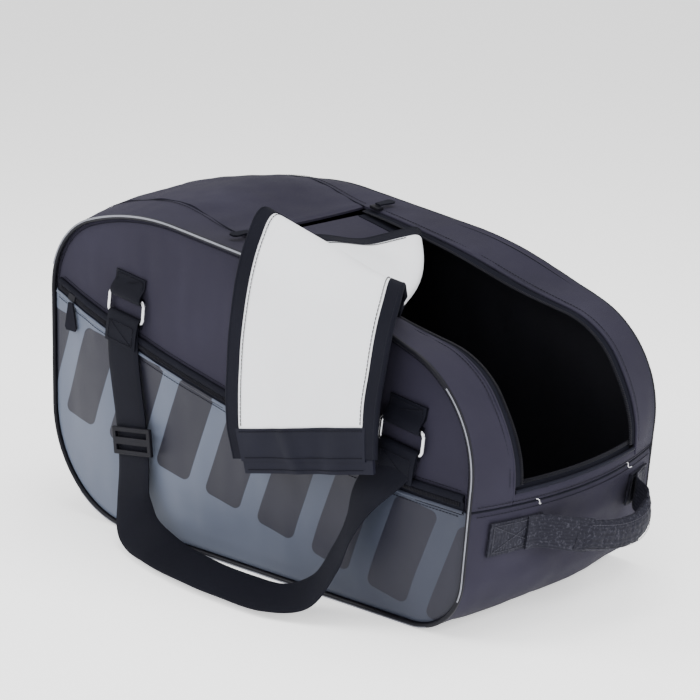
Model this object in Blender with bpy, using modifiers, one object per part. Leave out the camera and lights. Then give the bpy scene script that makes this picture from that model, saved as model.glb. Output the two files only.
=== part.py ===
# Soft racket duffel: padded shell, open U-shaped mouth with its lid strip folded over the front, carry strap on two
# rectangular rings, zipped front pocket and a haul handle on the right end.
# X runs along the bag, -Y is the front, +Z is up. The origin is the middle of the base face.
import bpy
import bmesh
import math
from mathutils import Matrix, Vector

for old in list(bpy.data.objects):
    bpy.data.objects.remove(old, do_unlink=True)

# ---------------------------------------------------------------- driving dimensions (metres)
# Side outline: corner x, corner z, corner radius, anticlockwise from the lower right corner
CORNERS = [(0.247, 0.000, 0.057), (0.268, 0.211, 0.100), (0.096, 0.276, 0.396),
           (-0.141, 0.309, 0.274), (-0.254, 0.276, 0.079), (-0.264, 0.000, 0.102)]
HALF_DEPTH = 0.1235      # front panel's outer face
WALL = 0.003             # padded cloth
GAP = 0.0003             # between pieces that touch
MOUTH_HALF = 0.084       # half the mouth's width between the top strips
ROOT_X = -0.045          # where the lid grows out of the top panel
SEAM_Z = 0.112           # cross seam under the mouth's right end
LIP_Z = 0.124            # top of the loose lip at the mouth's right end
PIPING_R = 0.0019
WEB = 0.040              # carry strap webbing width
WEB_T = 0.0022
RING_W, RING_H, RING_R = 0.046, 0.021, 0.0018
AXIS_L = (-0.145, 0.2285)    # left ring's top bar, x and z
AXIS_R = (0.190, 0.1755)     # right ring's top bar
AXIS_Y = -0.1298
LID_HALF = 0.0795        # half the lid's width
LID_T = 0.003
FOLD_C = 0.156           # distance from the lid's root to the middle of its diagonal fold
LID_EDGE_Y = -0.1230     # front edge of the lid's flat part
LID_HINGE_Y, LID_HINGE_N = -0.1470, 0.0245   # swing axis, along the lid's front fold
LID_PULL = 0.0400         # how far the fold is drawn in at its right corner
LID_FACE_Y = -0.1470     # middle of the hanging lid's thickness
ZIP_A, ZIP_B, ZIP_SAG = (-0.250, 0.2230), (0.252, 0.1180), 0.020   # pocket zip's arc: ends and sagitta

case = bpy.data.collections.new("paddle_case")
bpy.context.scene.collection.children.link(case)


def material(name, rgb, rough, metal=0.0):
    m = bpy.data.materials.new(name)
    m.use_nodes = True
    b = m.node_tree.nodes["Principled BSDF"]
    b.inputs["Base Color"].default_value = (*rgb, 1.0)
    b.inputs["Roughness"].default_value = rough
    b.inputs["Metallic"].default_value = metal
    m.diffuse_color = (*rgb, 1.0)
    return m


LOOK = {
    "shell_cloth": ((0.060, 0.058, 0.085), 0.75, 0.0),
    "pocket_cloth": ((0.20, 0.24, 0.30), 0.45, 0.0),
    "webbing": ((0.045, 0.047, 0.060), 0.70, 0.0),
    "piping": ((0.30, 0.30, 0.36), 0.40, 0.0),
    "zip": ((0.020, 0.021, 0.028), 0.50, 0.0),
    "ring_metal": ((0.62, 0.62, 0.64), 0.28, 1.0),
    "lid_lining": ((0.74, 0.75, 0.79), 0.40, 0.0),
    "inner_lining": ((0.020, 0.020, 0.026), 0.60, 0.0),
    "board": ((0.10, 0.10, 0.11), 0.80, 0.0),
}


def finish(obj, look):
    rgb, rough, metal = LOOK[look]
    obj.data.materials.append(material(obj.name + "_mat", rgb, rough, metal))
    for c in list(obj.users_collection):
        c.objects.unlink(obj)
    case.objects.link(obj)
    return obj


# ---------------------------------------------------------------- outline
def rounded(corners, steps=12):
    pts, m = [], len(corners)
    for i in range(m):
        p = Vector(corners[i][:2])
        a, b = Vector(corners[i - 1][:2]), Vector(corners[(i + 1) % m][:2])
        r = corners[i][2]
        u, v = (a - p).normalized(), (b - p).normalized()
        h = math.acos(max(-1.0, min(1.0, u.dot(v)))) / 2
        t = r / math.tan(h)
        c = p + (u + v).normalized() * (r / math.sin(h))
        s, e = p + u * t - c, p + v * t - c
        a0, a1 = math.atan2(s.y, s.x), math.atan2(e.y, e.x)
        da = (a1 - a0 + math.pi) % (2 * math.pi) - math.pi
        for k in range(steps + 1):
            an = a0 + da * k / steps
            pts.append(c + Vector((math.cos(an), math.sin(an))) * r)
    return pts


RAW = rounded(CORNERS, 24)
RUN = [0.0]
for i in range(len(RAW)):
    RUN.append(RUN[-1] + (RAW[(i + 1) % len(RAW)] - RAW[i]).length)
ROUND = RUN[-1]


def at(s):
    """Point on the outline at arc length s."""
    s %= ROUND
    lo, hi = 0, len(RAW)
    while hi - lo > 1:
        mid = (lo + hi) // 2
        if RUN[mid] <= s:
            lo = mid
        else:
            hi = mid
    a, b = RAW[lo], RAW[(lo + 1) % len(RAW)]
    f = (s - RUN[lo]) / max(RUN[lo + 1] - RUN[lo], 1e-9)
    return a.lerp(b, f)


def normal(s):
    t = (at(s + 0.004) - at(s - 0.004)).normalized()
    return Vector((t.y, -t.x))


def near(x, z):
    """Arc length of the outline point nearest to x, z."""
    best = min(range(1600), key=lambda k: (at(ROUND * k / 1600) - Vector((x, z))).length)
    return ROUND * best / 1600


# Crown of the gusset across its width: mid-width swell at stations round the outline
SWELL = [(near(0.190, 0.0), 0.0), (near(0.252, 0.060), 0.014), (near(0.262, 0.120), 0.020),
         (near(0.245, 0.195), 0.006), (near(0.120, 0.270), -0.020), (near(-0.045, 0.296), -0.004),
         (near(-0.130, 0.303), 0.016), (near(-0.235, 0.270), 0.016), (near(-0.260, 0.130), 0.014),
         (near(-0.235, 0.032), 0.006), (near(-0.160, 0.0), 0.0)]
SWELL.sort()


def swell(s):
    s %= ROUND
    k = SWELL + [(SWELL[0][0] + ROUND, SWELL[0][1])]
    if s < k[0][0]:
        s += ROUND
    for (a, va), (b, vb) in zip(k, k[1:]):
        if a <= s <= b:
            f = (s - a) / (b - a)
            f = f * f * (3 - 2 * f)
            return va + (vb - va) * f
    return 0.0


def skin(s, y, out=0.0):
    """Point on the gusset's outer skin."""
    p, n = at(s), normal(s)
    d = swell(s) * (1 - (y / HALF_DEPTH) ** 2) + out
    return Vector((p.x + n.x * d, y, p.y + n.y * d))


def smooth(obj):
    for p in obj.data.polygons:
        p.use_smooth = True
    obj.data.set_sharp_from_angle(angle=math.radians(40))


def grid_panel(name, s0, s1, y0, y1, ns, ny, look, out=0.0, thick=WALL):
    """Shell panel: an open sheet of the gusset's skin with Solidify, anticlockwise from s0 to s1."""
    s1 = s0 + (s1 - s0) % ROUND
    bm = bmesh.new()
    g = [[bm.verts.new(skin(s0 + (s1 - s0) * i / ns, y0 + (y1 - y0) * j / ny, out)) for j in range(ny + 1)]
         for i in range(ns + 1)]
    for i in range(ns):
        for j in range(ny):
            bm.faces.new((g[i][j], g[i][j + 1], g[i + 1][j + 1], g[i + 1][j]))
    me = bpy.data.meshes.new(name)
    bm.to_mesh(me)
    bm.free()
    ob = bpy.data.objects.new(name, me)
    bpy.context.scene.collection.objects.link(ob)
    sol = ob.modifiers.new("thickness", "SOLIDIFY")
    sol.thickness = thick
    sol.offset = -1
    smooth(ob)
    return finish(ob, look)


def outward(bm):
    """Turn every face of a closed shape outwards."""
    bmesh.ops.recalc_face_normals(bm, faces=bm.faces)
    if bm.calc_volume(signed=True) < 0:
        bmesh.ops.reverse_faces(bm, faces=bm.faces)


def plate(name, pts, y0, y1, look):
    """Flat plate in the XZ plane from y0 to y1: one outline face, extruded."""
    bm = bmesh.new()
    face = bm.faces.new([bm.verts.new((p[0], min(y0, y1), p[1])) for p in pts])
    far = bmesh.ops.extrude_face_region(bm, geom=[face])
    for v in far["geom"]:
        if isinstance(v, bmesh.types.BMVert):
            v.co.y = max(y0, y1)
    outward(bm)
    me = bpy.data.meshes.new(name)
    bm.to_mesh(me)
    bm.free()
    ob = bpy.data.objects.new(name, me)
    bpy.context.scene.collection.objects.link(ob)
    return finish(ob, look)


def flat_sweep(name, path, across, w, t, look):
    """Flat strip of width w and thickness t along path; across gives the width direction at each point."""
    bm = bmesh.new()
    rows = []
    n = len(path)
    for i in range(n):
        p = Vector(path[i])
        tan = (Vector(path[min(i + 1, n - 1)]) - Vector(path[max(i - 1, 0)])).normalized()
        a = Vector(across[i])
        a = (a - tan * a.dot(tan)).normalized()
        nn = tan.cross(a).normalized()
        rows.append([bm.verts.new(p + a * (w / 2 * sa) + nn * (t / 2 * sn))
                     for sa, sn in ((-1, -1), (1, -1), (1, 1), (-1, 1))])
    for r0, r1 in zip(rows, rows[1:]):
        for k in range(4):
            bm.faces.new((r0[k], r1[k], r1[(k + 1) % 4], r0[(k + 1) % 4]))
    bm.faces.new(rows[0])
    bm.faces.new(rows[-1][::-1])
    outward(bm)
    me = bpy.data.meshes.new(name)
    bm.to_mesh(me)
    bm.free()
    ob = bpy.data.objects.new(name, me)
    bpy.context.scene.collection.objects.link(ob)
    smooth(ob)
    return finish(ob, look)


def tube(name, pts, r, look, cyclic=False, res=2):
    cu = bpy.data.curves.new(name, "CURVE")
    cu.dimensions = "3D"
    cu.bevel_depth = r
    cu.bevel_resolution = res
    cu.use_fill_caps = not cyclic
    sp = cu.splines.new("POLY")
    sp.points.add(len(pts) - 1)
    for q, p in zip(sp.points, pts):
        q.co = (p[0], p[1], p[2], 1.0)
    sp.use_cyclic_u = cyclic
    ob = bpy.data.objects.new(name, cu)
    bpy.context.scene.collection.objects.link(ob)
    return finish(ob, look)


def block(name, size, centre, look, rot=(0, 0, 0), bevel=0.0, parent=None):
    bpy.ops.mesh.primitive_cube_add(size=1.0)
    ob = bpy.context.object
    ob.name = name
    ob.data.name = name
    for v in ob.data.vertices:
        v.co = Vector((v.co.x * size[0], v.co.y * size[1], v.co.z * size[2]))
    ob.location = centre
    ob.rotation_euler = rot
    if bevel:
        b = ob.modifiers.new("edges", "BEVEL")
        b.width = bevel
        b.segments = 2
        b.limit_method = "ANGLE"
    return finish(ob, look)


def lengths(keys):
    ts = [0.0]
    for a, b in zip(keys, keys[1:]):
        ts.append(ts[-1] + (Vector(b) - Vector(a)).length)
    return ts


def spline(keys, n, ts=None):
    """Cubic curve through keys, n points evenly spaced along ts (the keys' own chord lengths by default)."""
    ks = [Vector(k) for k in keys]
    ts = ts or lengths(ks)
    m = []
    for i in range(len(ks)):
        lo, hi = max(i - 1, 0), min(i + 1, len(ks) - 1)
        m.append((ks[hi] - ks[lo]) / (ts[hi] - ts[lo]))
    out, j = [], 0
    for i in range(n):
        t = ts[-1] * i / (n - 1)
        while j < len(ks) - 2 and t > ts[j + 1]:
            j += 1
        h = ts[j + 1] - ts[j]
        f = (t - ts[j]) / h
        out.append(ks[j] * (2 * f ** 3 - 3 * f * f + 1) + m[j] * (h * (f ** 3 - 2 * f * f + f))
                   + ks[j + 1] * (3 * f * f - 2 * f ** 3) + m[j + 1] * (h * (f ** 3 - f * f)))
    return out


# ---------------------------------------------------------------- stations round the outline
S_BASE_R, S_BASE_L = near(0.185, 0.0), near(-0.155, 0.0)
S_SEAM = near(0.262, SEAM_Z)
S_LIP = near(0.262, LIP_Z)
S_ROOT = near(ROOT_X, 0.296)
S_TOPL = near(-0.222, 0.282)
SIDE_GAP = 0.0012        # the cloth's cut edges lean with its crown
YE = HALF_DEPTH - WALL - SIDE_GAP
G2 = 0.0006                 # half the gap at a cross seam

# ---------------------------------------------------------------- shell
base_len = (S_BASE_R - S_BASE_L) % ROUND
grid_panel("base_panel", S_BASE_L + G2, S_BASE_L + base_len - G2, -YE, YE, 6, 2, "shell_cloth")
grid_panel("right_gusset", S_BASE_R + G2, S_SEAM - G2, -YE, YE, 10, 8, "shell_cloth")
grid_panel("front_top_strip", S_SEAM + G2, S_TOPL - G2, -YE, -MOUTH_HALF, 34, 2, "shell_cloth")
grid_panel("back_top_strip", S_SEAM + G2, S_TOPL - G2, MOUTH_HALF, YE, 34, 2, "shell_cloth")
grid_panel("mouth_end_lip", S_SEAM + G2, S_LIP, -MOUTH_HALF + SIDE_GAP, MOUTH_HALF - SIDE_GAP, 1, 8, "shell_cloth")
grid_panel("top_left_panel", S_ROOT + 0.004, S_TOPL - G2, -MOUTH_HALF + SIDE_GAP, MOUTH_HALF - SIDE_GAP, 12, 8, "shell_cloth")
left_len = (S_BASE_L - S_TOPL) % ROUND
grid_panel("left_gusset", S_TOPL + G2, S_TOPL + left_len - G2, -YE, YE, 16, 8, "shell_cloth")


def inset(d, n=96):
    return [at(ROUND * k / n) - normal(ROUND * k / n) * d for k in range(n)]


plate("front_panel", inset(0.0006), -HALF_DEPTH, -HALF_DEPTH + WALL, "shell_cloth")
plate("back_panel", inset(0.0006), HALF_DEPTH - WALL, HALF_DEPTH, "shell_cloth")
plate("front_lining", inset(0.010), -HALF_DEPTH + WALL + GAP, -HALF_DEPTH + WALL + GAP + 0.0012, "inner_lining")
plate("back_lining", inset(0.010), HALF_DEPTH - WALL - GAP - 0.0012, HALF_DEPTH - WALL - GAP, "inner_lining")
block("base_board", (0.330, 0.216, 0.0025), (0.012, 0, WALL + GAP + 0.00125), "board", bevel=0.0008)

NP = 120
for name, side, look in (("front_piping", -1, "piping"), ("back_piping", 1, "piping")):
    pts = []
    for k in range(NP):
        s = ROUND * k / NP
        p = at(s) - normal(s) * (PIPING_R + 0.0001)
        pts.append((p.x, side * (HALF_DEPTH + GAP + PIPING_R), p.y))
    tube(name, pts, PIPING_R, look, cyclic=True, res=1)

# ---------------------------------------------------------------- front pocket and its zip
zdir = (Vector(ZIP_B) - Vector(ZIP_A))
zlen = zdir.length
zup = Vector((-zdir.y, zdir.x)).normalized()


def zip_line(f, off=0.0):
    """Point on the pocket zip's arc, f from 0 at the left to 1 at the right, moved off along its normal."""
    sag = 4 * ZIP_SAG * f * (1 - f)
    d = (zdir / zlen - zup * (4 * ZIP_SAG * (1 - 2 * f) / zlen)).normalized()
    up = Vector((-d.y, d.x))
    return Vector(ZIP_A) + zdir * f - zup * sag + up * off


def inside(p, d):
    """True where p is inside the outline by at least d."""
    q = inset(d, 160)
    c = False
    for i in range(len(q)):
        a, b = q[i - 1], q[i]
        if (a.y > p.y) != (b.y > p.y) and p.x < (b.x - a.x) * (p.y - a.y) / (b.y - a.y) + a.x:
            c = not c
    return c


RIM = 2 * PIPING_R + 0.0006
fs = [k / 200 for k in range(201)]
ok = [f for f in fs if all(inside(zip_line(f, o), RIM) for o in (-0.0075, 0.0065))]
F0, F1 = ok[0] + 0.002, ok[-1] - 0.002
ZN = 30
top = [zip_line(F0 + (F1 - F0) * k / ZN, 0.0065) for k in range(ZN + 1)]
bot = [zip_line(F0 + (F1 - F0) * k / ZN, -0.0065) for k in range(ZN + 1)]
YP = -HALF_DEPTH - GAP
plate("pocket_zip_tape", bot + top[::-1], YP, YP - 0.0008, "zip")
top = [zip_line(F0 + 0.004 + (F1 - F0 - 0.008) * k / ZN, 0.0022) for k in range(ZN + 1)]
bot = [zip_line(F0 + 0.004 + (F1 - F0 - 0.008) * k / ZN, -0.0022) for k in range(ZN + 1)]
YC = YP - 0.0008 - GAP
plate("pocket_zip_chain", bot + top[::-1], YC, YC - 0.0014, "zip")


def below(p):
    f = (p - Vector(ZIP_A)).dot(zdir) / zlen ** 2
    q = zip_line(max(0.0, min(1.0, f)), -0.0068)
    return (p - q).dot(zup) < 0


rim = inset(RIM, 240)
low = [below(p) for p in rim]
start = next(i for i in range(len(rim)) if low[i] and not low[i - 1])
run = []
k = start
while low[k % len(rim)]:
    run.append(rim[k % len(rim)])
    k += 1
x0, x1 = run[0].x, run[-1].x
edge = [zip_line(f, -0.0068) for f in fs]
edge = [p for p in edge if x0 + 0.003 < p.x < x1 - 0.003]
plate("pocket_panel", run[::2] + edge[::-6], YP, YP - 0.0016, "pocket_cloth")

# ---------------------------------------------------------------- mouth zip halves on the bag
ZS0, ZS1 = S_LIP + 0.004, S_ROOT - 0.002
for name, side in (("mouth_zip_front", -1), ("mouth_zip_back", 1)):
    yz = side * (MOUTH_HALF - SIDE_GAP - 0.0017)
    path = [skin(ZS0 + (ZS1 - ZS0) * k / 30, yz, -0.0016) for k in range(31)]
    flat_sweep(name, path, [(0, 1, 0)] * 31, 0.0034, 0.0022, "zip")

# ---------------------------------------------------------------- lid strip
pl, pr = skin(S_ROOT, MOUTH_HALF), skin(near(0.200, 0.236), MOUTH_HALF)
SLOPE = math.atan2(pl.z - pr.z, pr.x - pl.x)
XD = Vector((math.cos(SLOPE), 0, -math.sin(SLOPE)))
ND = Vector((math.sin(SLOPE), 0, math.cos(SLOPE)))
ROOT = Vector((pl.x, 0, pl.z))


def lid(xp, y, n):
    return ROOT + XD * xp + Vector((0, y, 0)) + ND * n


def slab(name, quad, n_mid, look, thick=LID_T):
    """Flat slab in the mouth's plane; quad gives x', y corners anticlockwise from above."""
    bm = bmesh.new()
    lo = [bm.verts.new(lid(x, y, n_mid - thick / 2)) for x, y in quad]
    hi = [bm.verts.new(lid(x, y, n_mid + thick / 2)) for x, y in quad]
    bm.faces.new(lo[::-1])
    bm.faces.new(hi)
    m = len(quad)
    for i in range(m):
        bm.faces.new((lo[i], lo[(i + 1) % m], hi[(i + 1) % m], hi[i]))
    outward(bm)
    me = bpy.data.meshes.new(name)
    bm.to_mesh(me)
    bm.free()
    ob = bpy.data.objects.new(name, me)
    bpy.context.scene.collection.objects.link(ob)
    return finish(ob, look)


H = LID_HALF
LID_LOW, LID_HIGH = -0.0020, 0.0190
TAPE = 0.0105
HR = LID_HALF - 0.0012
slab("lid_root_panel", [(0.004, -HR), (FOLD_C + HR - 0.004 - LID_PULL, -HR), (FOLD_C - HR - 0.004, HR), (0.004, HR)], LID_LOW, "shell_cloth")
PF0, PF1 = LID_PULL * 0.3, LID_PULL       # at the front edge and at the fold
slab("lid_fold_panel", [(FOLD_C - H + TAPE, LID_EDGE_Y), (FOLD_C + H - TAPE - PF0, LID_EDGE_Y),
                        (FOLD_C + H - TAPE - PF1, -H + TAPE), (FOLD_C - H + TAPE, H - TAPE)], LID_HIGH, "lid_lining")
slab("lid_fold_tape_left", [(FOLD_C - H, LID_EDGE_Y), (FOLD_C - H + TAPE - GAP, LID_EDGE_Y),
                            (FOLD_C - H + TAPE - GAP, H - TAPE), (FOLD_C - H, H)], LID_HIGH, "zip")
slab("lid_fold_tape_right", [(FOLD_C + H - TAPE + GAP - PF0, LID_EDGE_Y), (FOLD_C + H - PF0, LID_EDGE_Y),
                             (FOLD_C + H - PF1, -H + TAPE), (FOLD_C + H - TAPE + GAP - PF1, -H + TAPE)], LID_HIGH, "zip")

# hanging part: corners left top, right top, right bottom, left bottom
hl, hr = lid(FOLD_C - H, 0, LID_HIGH - 0.010), lid(FOLD_C + H, 0, LID_HIGH - 0.010)
QUAD = [Vector((0.0240, hl.z + 0.0018)), Vector((0.180, hr.z + 0.0015)), Vector((0.158, 0.150)), Vector((0.012, 0.112))]


def hang(u, v):
    a, b = QUAD[0].lerp(QUAD[1], u), QUAD[3].lerp(QUAD[2], u)
    return a.lerp(b, v)


def hang_plate(name, u0, u1, v0, v1, look, y_mid=LID_FACE_Y, thick=LID_T):
    n = 6
    pts = [hang(u0 + (u1 - u0) * k / n, v1) for k in range(n + 1)]
    pts += [hang(u1 + (u0 - u1) * k / n, v0) for k in range(n + 1)]
    plate(name, pts, y_mid - thick / 2, y_mid + thick / 2, look)


U = TAPE / (2 * H)
UG = GAP / (2 * H)
hang_plate("lid_flap_lining", U, 1 - U, 0.0, 0.845, "lid_lining", LID_FACE_Y - 0.0009, 0.0012)
hang_plate("lid_flap_shell", U, 1 - U, 0.0, 0.845, "shell_cloth", LID_FACE_Y + 0.0007, 0.0014)
hang_plate("lid_tape_left", 0.0, U - UG, 0.0, 0.93, "zip")
hang_plate("lid_tape_right", 1 - U + UG, 1.0, 0.0, 0.93, "zip")
hang_plate("lid_end_band", U, 1 - U, 0.848, 1.0, "shell_cloth")

# ---------------------------------------------------------------- carry strap, rings and adjuster
axd = Vector((AXIS_R[0] - AXIS_L[0], 0, AXIS_R[1] - AXIS_L[1])).normalized()
axn = Vector((-axd.z, 0, axd.x))


def ring(name, c):
    c = Vector((c[0], AXIS_Y, c[1]))
    pts = []
    w, h, r = RING_W / 2, RING_H, 0.004
    for cx, cz, a0 in ((w - r, -r, 0), (-w + r, -r, 90), (-w + r, -h + r, 180), (w - r, -h + r, 270)):
        for k in range(5):
            a = math.radians(a0 + 90 * k / 4)
            pts.append(c + axd * (cx + r * math.cos(a)) + axn * (cz + r * math.sin(a)))
    tube(name, pts, RING_R, "ring_metal", cyclic=True, res=2)
    top = c + axn * (2 * RING_R + 0.0085)
    block(name.replace("ring", "ring_tab"), (RING_W - 0.006, 0.0042, 0.0160),
          (top.x, -HALF_DEPTH - GAP - 0.0021, top.z), "webbing", rot=(0, math.atan2(-axd.z, axd.x), 0), bevel=0.0008)
    return c


cl = ring("carry_ring_left", AXIS_L)
cr = ring("carry_ring_right", AXIS_R)
lead = RING_R + 0.0012
tl = cl - axn * (RING_H + lead)
tr = cr - axn * (RING_H + lead)
tl2, tr2 = tl - axn * 0.010, tr - axn * 0.008
STRAP = [((tl.x, tl.y - 0.0012, tl.z), axd), ((tl2.x, tl2.y - 0.0020, tl2.z), axd), ((-0.1465, -0.1335, 0.160), (1, 0, -0.12)), ((-0.136, -0.1345, 0.115), (1, 0, -0.08)),
         ((-0.130, -0.1365, 0.072), (1, 0, 0.02)), ((-0.121, -0.1440, 0.044), (0.88, 0.18, 0.45)), ((-0.095, -0.1525, 0.0275), (0.35, 0.52, 0.72)),
         ((-0.055, -0.1560, 0.0185), (0.05, 0.76, 0.60)), ((-0.005, -0.1620, 0.0165), (0, 0.82, 0.56)),
         ((0.045, -0.1660, 0.0165), (0, 0.82, 0.56)), ((0.088, -0.1660, 0.0180), (-0.10, 0.80, 0.60)),
         ((0.120, -0.1610, 0.0290), (-0.45, 0.75, 0.62)), ((0.138, -0.1540, 0.055), (-0.80, 0.80, 0.35)),
         ((0.150, -0.1505, 0.084), (-0.85, 0.80, 0.25)), ((0.160, -0.1420, 0.112), (-0.97, 0.30, 0.10)),
         ((tr2.x, tr2.y - 0.0020, tr2.z), -axd), ((tr.x, tr.y - 0.0012, tr.z), -axd)]
SN = 66
centre = spline([k[0] for k in STRAP], SN)
across = spline([k[1] for k in STRAP], SN, lengths([k[0] for k in STRAP]))
flat_sweep("carry_strap", centre, across, WEB, WEB_T, "webbing")

# adjuster: a plate with two slots lying on the front of the strap's left leg
ADJ_Z = 0.0930
ai = min(range(SN // 2), key=lambda k: abs(centre[k].z - ADJ_Z))
az = -(centre[ai + 2] - centre[ai - 2]).normalized()
axx = across[ai] - az * across[ai].dot(az)
axx.normalize()
ayy = az.cross(axx)
frame = Matrix((axx, ayy, az)).transposed()
seat = centre[ai] - ayy * (WEB_T / 2 + 0.0010 + 0.0017)
adj = block("strap_adjuster", (0.052, 0.0034, 0.026), seat, "zip", rot=frame.to_euler(), bevel=0.0008)
cutters = bpy.data.collections.new("cutters")
bpy.context.scene.collection.children.link(cutters)
for k, dz in enumerate((0.0060, -0.0060)):
    bpy.ops.mesh.primitive_cube_add(size=1.0)
    cut = bpy.context.object
    cut.name = "adjuster_slot_%d" % k
    for v in cut.data.vertices:
        v.co = Vector((v.co.x * 0.043, v.co.y * 0.02, v.co.z * 0.0055))
    cut.location = seat + az * dz
    cut.rotation_euler = frame.to_euler()
    cut.hide_render = True
    cut.display_type = "WIRE"
    for c in list(cut.users_collection):
        c.objects.unlink(cut)
    cutters.objects.link(cut)
    b = adj.modifiers.new("slot_%d" % k, "BOOLEAN")
    b.operation = "DIFFERENCE"
    b.solver = "EXACT"
    b.object = cut

# ---------------------------------------------------------------- haul handle on the right end
HA_Y0, HA_Y1 = -0.106, -0.052     # front anchor patch
HB_Y0, HB_Y1 = 0.078, 0.112       # back anchor patch
HAUL_Z = 0.086
HAUL_W, HAUL_T = 0.030, 0.0030
S_H = near(0.2595, HAUL_Z)
for name, y0, y1 in (("haul_anchor_front", HA_Y0, HA_Y1), ("haul_anchor_back", HB_Y0, HB_Y1)):
    grid_panel(name, S_H - HAUL_W / 2, S_H + HAUL_W / 2, y0, y1, 3, 4, "webbing", out=GAP + 0.0024, thick=0.0024)
pa = skin(S_H, HA_Y1, 0.0120)
pb = skin(S_H, HB_Y0, 0.0120)
HX = [Vector((pa.x, HA_Y1 + 0.0015, pa.z)), Vector((0.2920, -0.034, 0.0800)), Vector((0.3000, -0.008, 0.0740)),
      Vector((0.3050, 0.020, 0.0705)), Vector((0.3045, 0.046, 0.0730)), Vector((0.2960, 0.066, 0.0810)), Vector((pb.x, HB_Y0 - 0.0015, pb.z))]
hp = spline(HX, 31)
web_f = flat_sweep("haul_web_front", hp[:7], [(0.12, 0, 1)] * 7, HAUL_W, HAUL_T, "webbing")
web_b = flat_sweep("haul_web_back", hp[25:], [(0.12, 0, 1)] * 6, HAUL_W, HAUL_T, "webbing")
for k in range(4):      # the ends that meet the grip are square to its swing axis
    web_f.data.vertices[24 + k].co.y = hp[6].y
    web_b.data.vertices[k].co.y = hp[25].y
grip = [hp[7].lerp(hp[6], 0.4)] + [Vector(p) for p in hp[8:24]] + [hp[24].lerp(hp[25], 0.1)]
bm = bmesh.new()
rows = []
for i, p in enumerate(grip):
    t = (grip[min(i + 1, len(grip) - 1)] - grip[max(i - 1, 0)]).normalized()
    a = Vector((0.12, 0, 1))
    a = (a - t * a.dot(t)).normalized()
    b = t.cross(a)
    f = i / (len(grip) - 1)
    full = min(1.0, 0.55 + 2.2 * math.sin(math.pi * f))
    rows.append([bm.verts.new(p + a * (math.cos(2 * math.pi * k / 12) * 0.0150) + b * (math.sin(2 * math.pi * k / 12) * 0.0058 * full))
                 for k in range(12)])
for r, y in ((rows[0], grip[0].y), (rows[-1], grip[-1].y)):
    for v in r:
        v.co.y = y
for r0, r1 in zip(rows, rows[1:]):
    for k in range(12):
        bm.faces.new((r0[k], r1[k], r1[(k + 1) % 12], r0[(k + 1) % 12]))
bm.faces.new(rows[0])
bm.faces.new(rows[-1][::-1])
outward(bm)
me = bpy.data.meshes.new("haul_grip")
bm.to_mesh(me)
bm.free()
ob = bpy.data.objects.new("haul_grip", me)
bpy.context.scene.collection.objects.link(ob)
smooth(ob)
finish(ob, "webbing")


# ---------------------------------------------------------------- zip sliders and pullers
def empty(name, loc, rot):
    e = bpy.data.objects.new(name, None)
    e.empty_display_size = 0.01
    e.location = loc
    e.rotation_euler = rot
    case.objects.link(e)
    return e


def puller(name, axis, parent, look="zip", length=0.024, w0=0.0035, w1=0.0065, tilt=0.0):
    """Flat pull tab hung from the parent empty: local -Z is down the tab, local X is its pin axis."""
    cu = bpy.data.curves.new(name, "CURVE")
    cu.dimensions = "2D"
    cu.fill_mode = "BOTH"
    pts = [(-w0, 0.0), (w0, 0.0), (w1, -length + 0.003), (w1 - 0.002, -length), (-w1 + 0.002, -length), (-w1, -length + 0.003)]
    sp = cu.splines.new("POLY")
    sp.points.add(len(pts) - 1)
    for q, p in zip(sp.points, pts[::-1]):
        q.co = (p[0], p[1], 0.0, 1.0)
    sp.use_cyclic_u = True
    cu.extrude = 0.0008
    ob = bpy.data.objects.new(name, cu)
    ob.rotation_euler = (math.pi / 2, 0, 0)
    ob.parent = parent
    bpy.context.scene.collection.objects.link(ob)
    return finish(ob, look)


# pocket slider near the left end of the pocket zip; its local X runs along the zip
PF = F0 + 0.045
q = zip_line(PF)
q2 = zip_line(PF + 0.01)
ptilt = math.atan2(q2.y - q.y, q2.x - q.x)
YS = YC - 0.0014 - GAP
block("pocket_slider", (0.0095, 0.0026, 0.0075), (q.x, YS - 0.0013, q.y), "zip", rot=(0, -ptilt, 0), bevel=0.0006)
hx = q + Vector((0.0, -0.0046))
pe = empty("pocket_puller_axis", (hx.x, YS - 0.0036, hx.y), (0, math.radians(2), 0))
puller("pocket_puller", "x", pe, length=0.027, w0=0.0030, w1=0.0080)

# mouth sliders at the lid's root, on the bag's zip halves; they sit on the top strips' edges
MS = S_ROOT - 0.012
for side, tag in ((-1, "front"), (1, "back")):
    y = side * (MOUTH_HALF - 0.0005)
    c = skin(MS, y, 0.0026)
    d = skin(MS - 0.01, y, 0.0026) - c
    ang = math.atan2(-d.z, d.x)
    block("mouth_slider_" + tag, (0.0110, 0.0080, 0.0030), c, "zip", rot=(0, ang, 0), bevel=0.0006)
    top = c + Vector((math.sin(ang), 0, math.cos(ang))) * 0.0030
    pe = empty("mouth_puller_%s_axis" % tag, top + Vector((0, side * 0.0010, 0)), (0, ang, 0))
    ob = puller("mouth_puller_" + tag, "x", pe, length=0.022, w0=0.0030, w1=0.0045)
    ob.rotation_euler = (0, 0, math.pi if side > 0 else 0.0)
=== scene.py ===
# Looks for the soft racket duffel: cloth, piping, zips, lid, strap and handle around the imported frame.
import bpy
import math
import numpy as np
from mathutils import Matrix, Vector, noise


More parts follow.
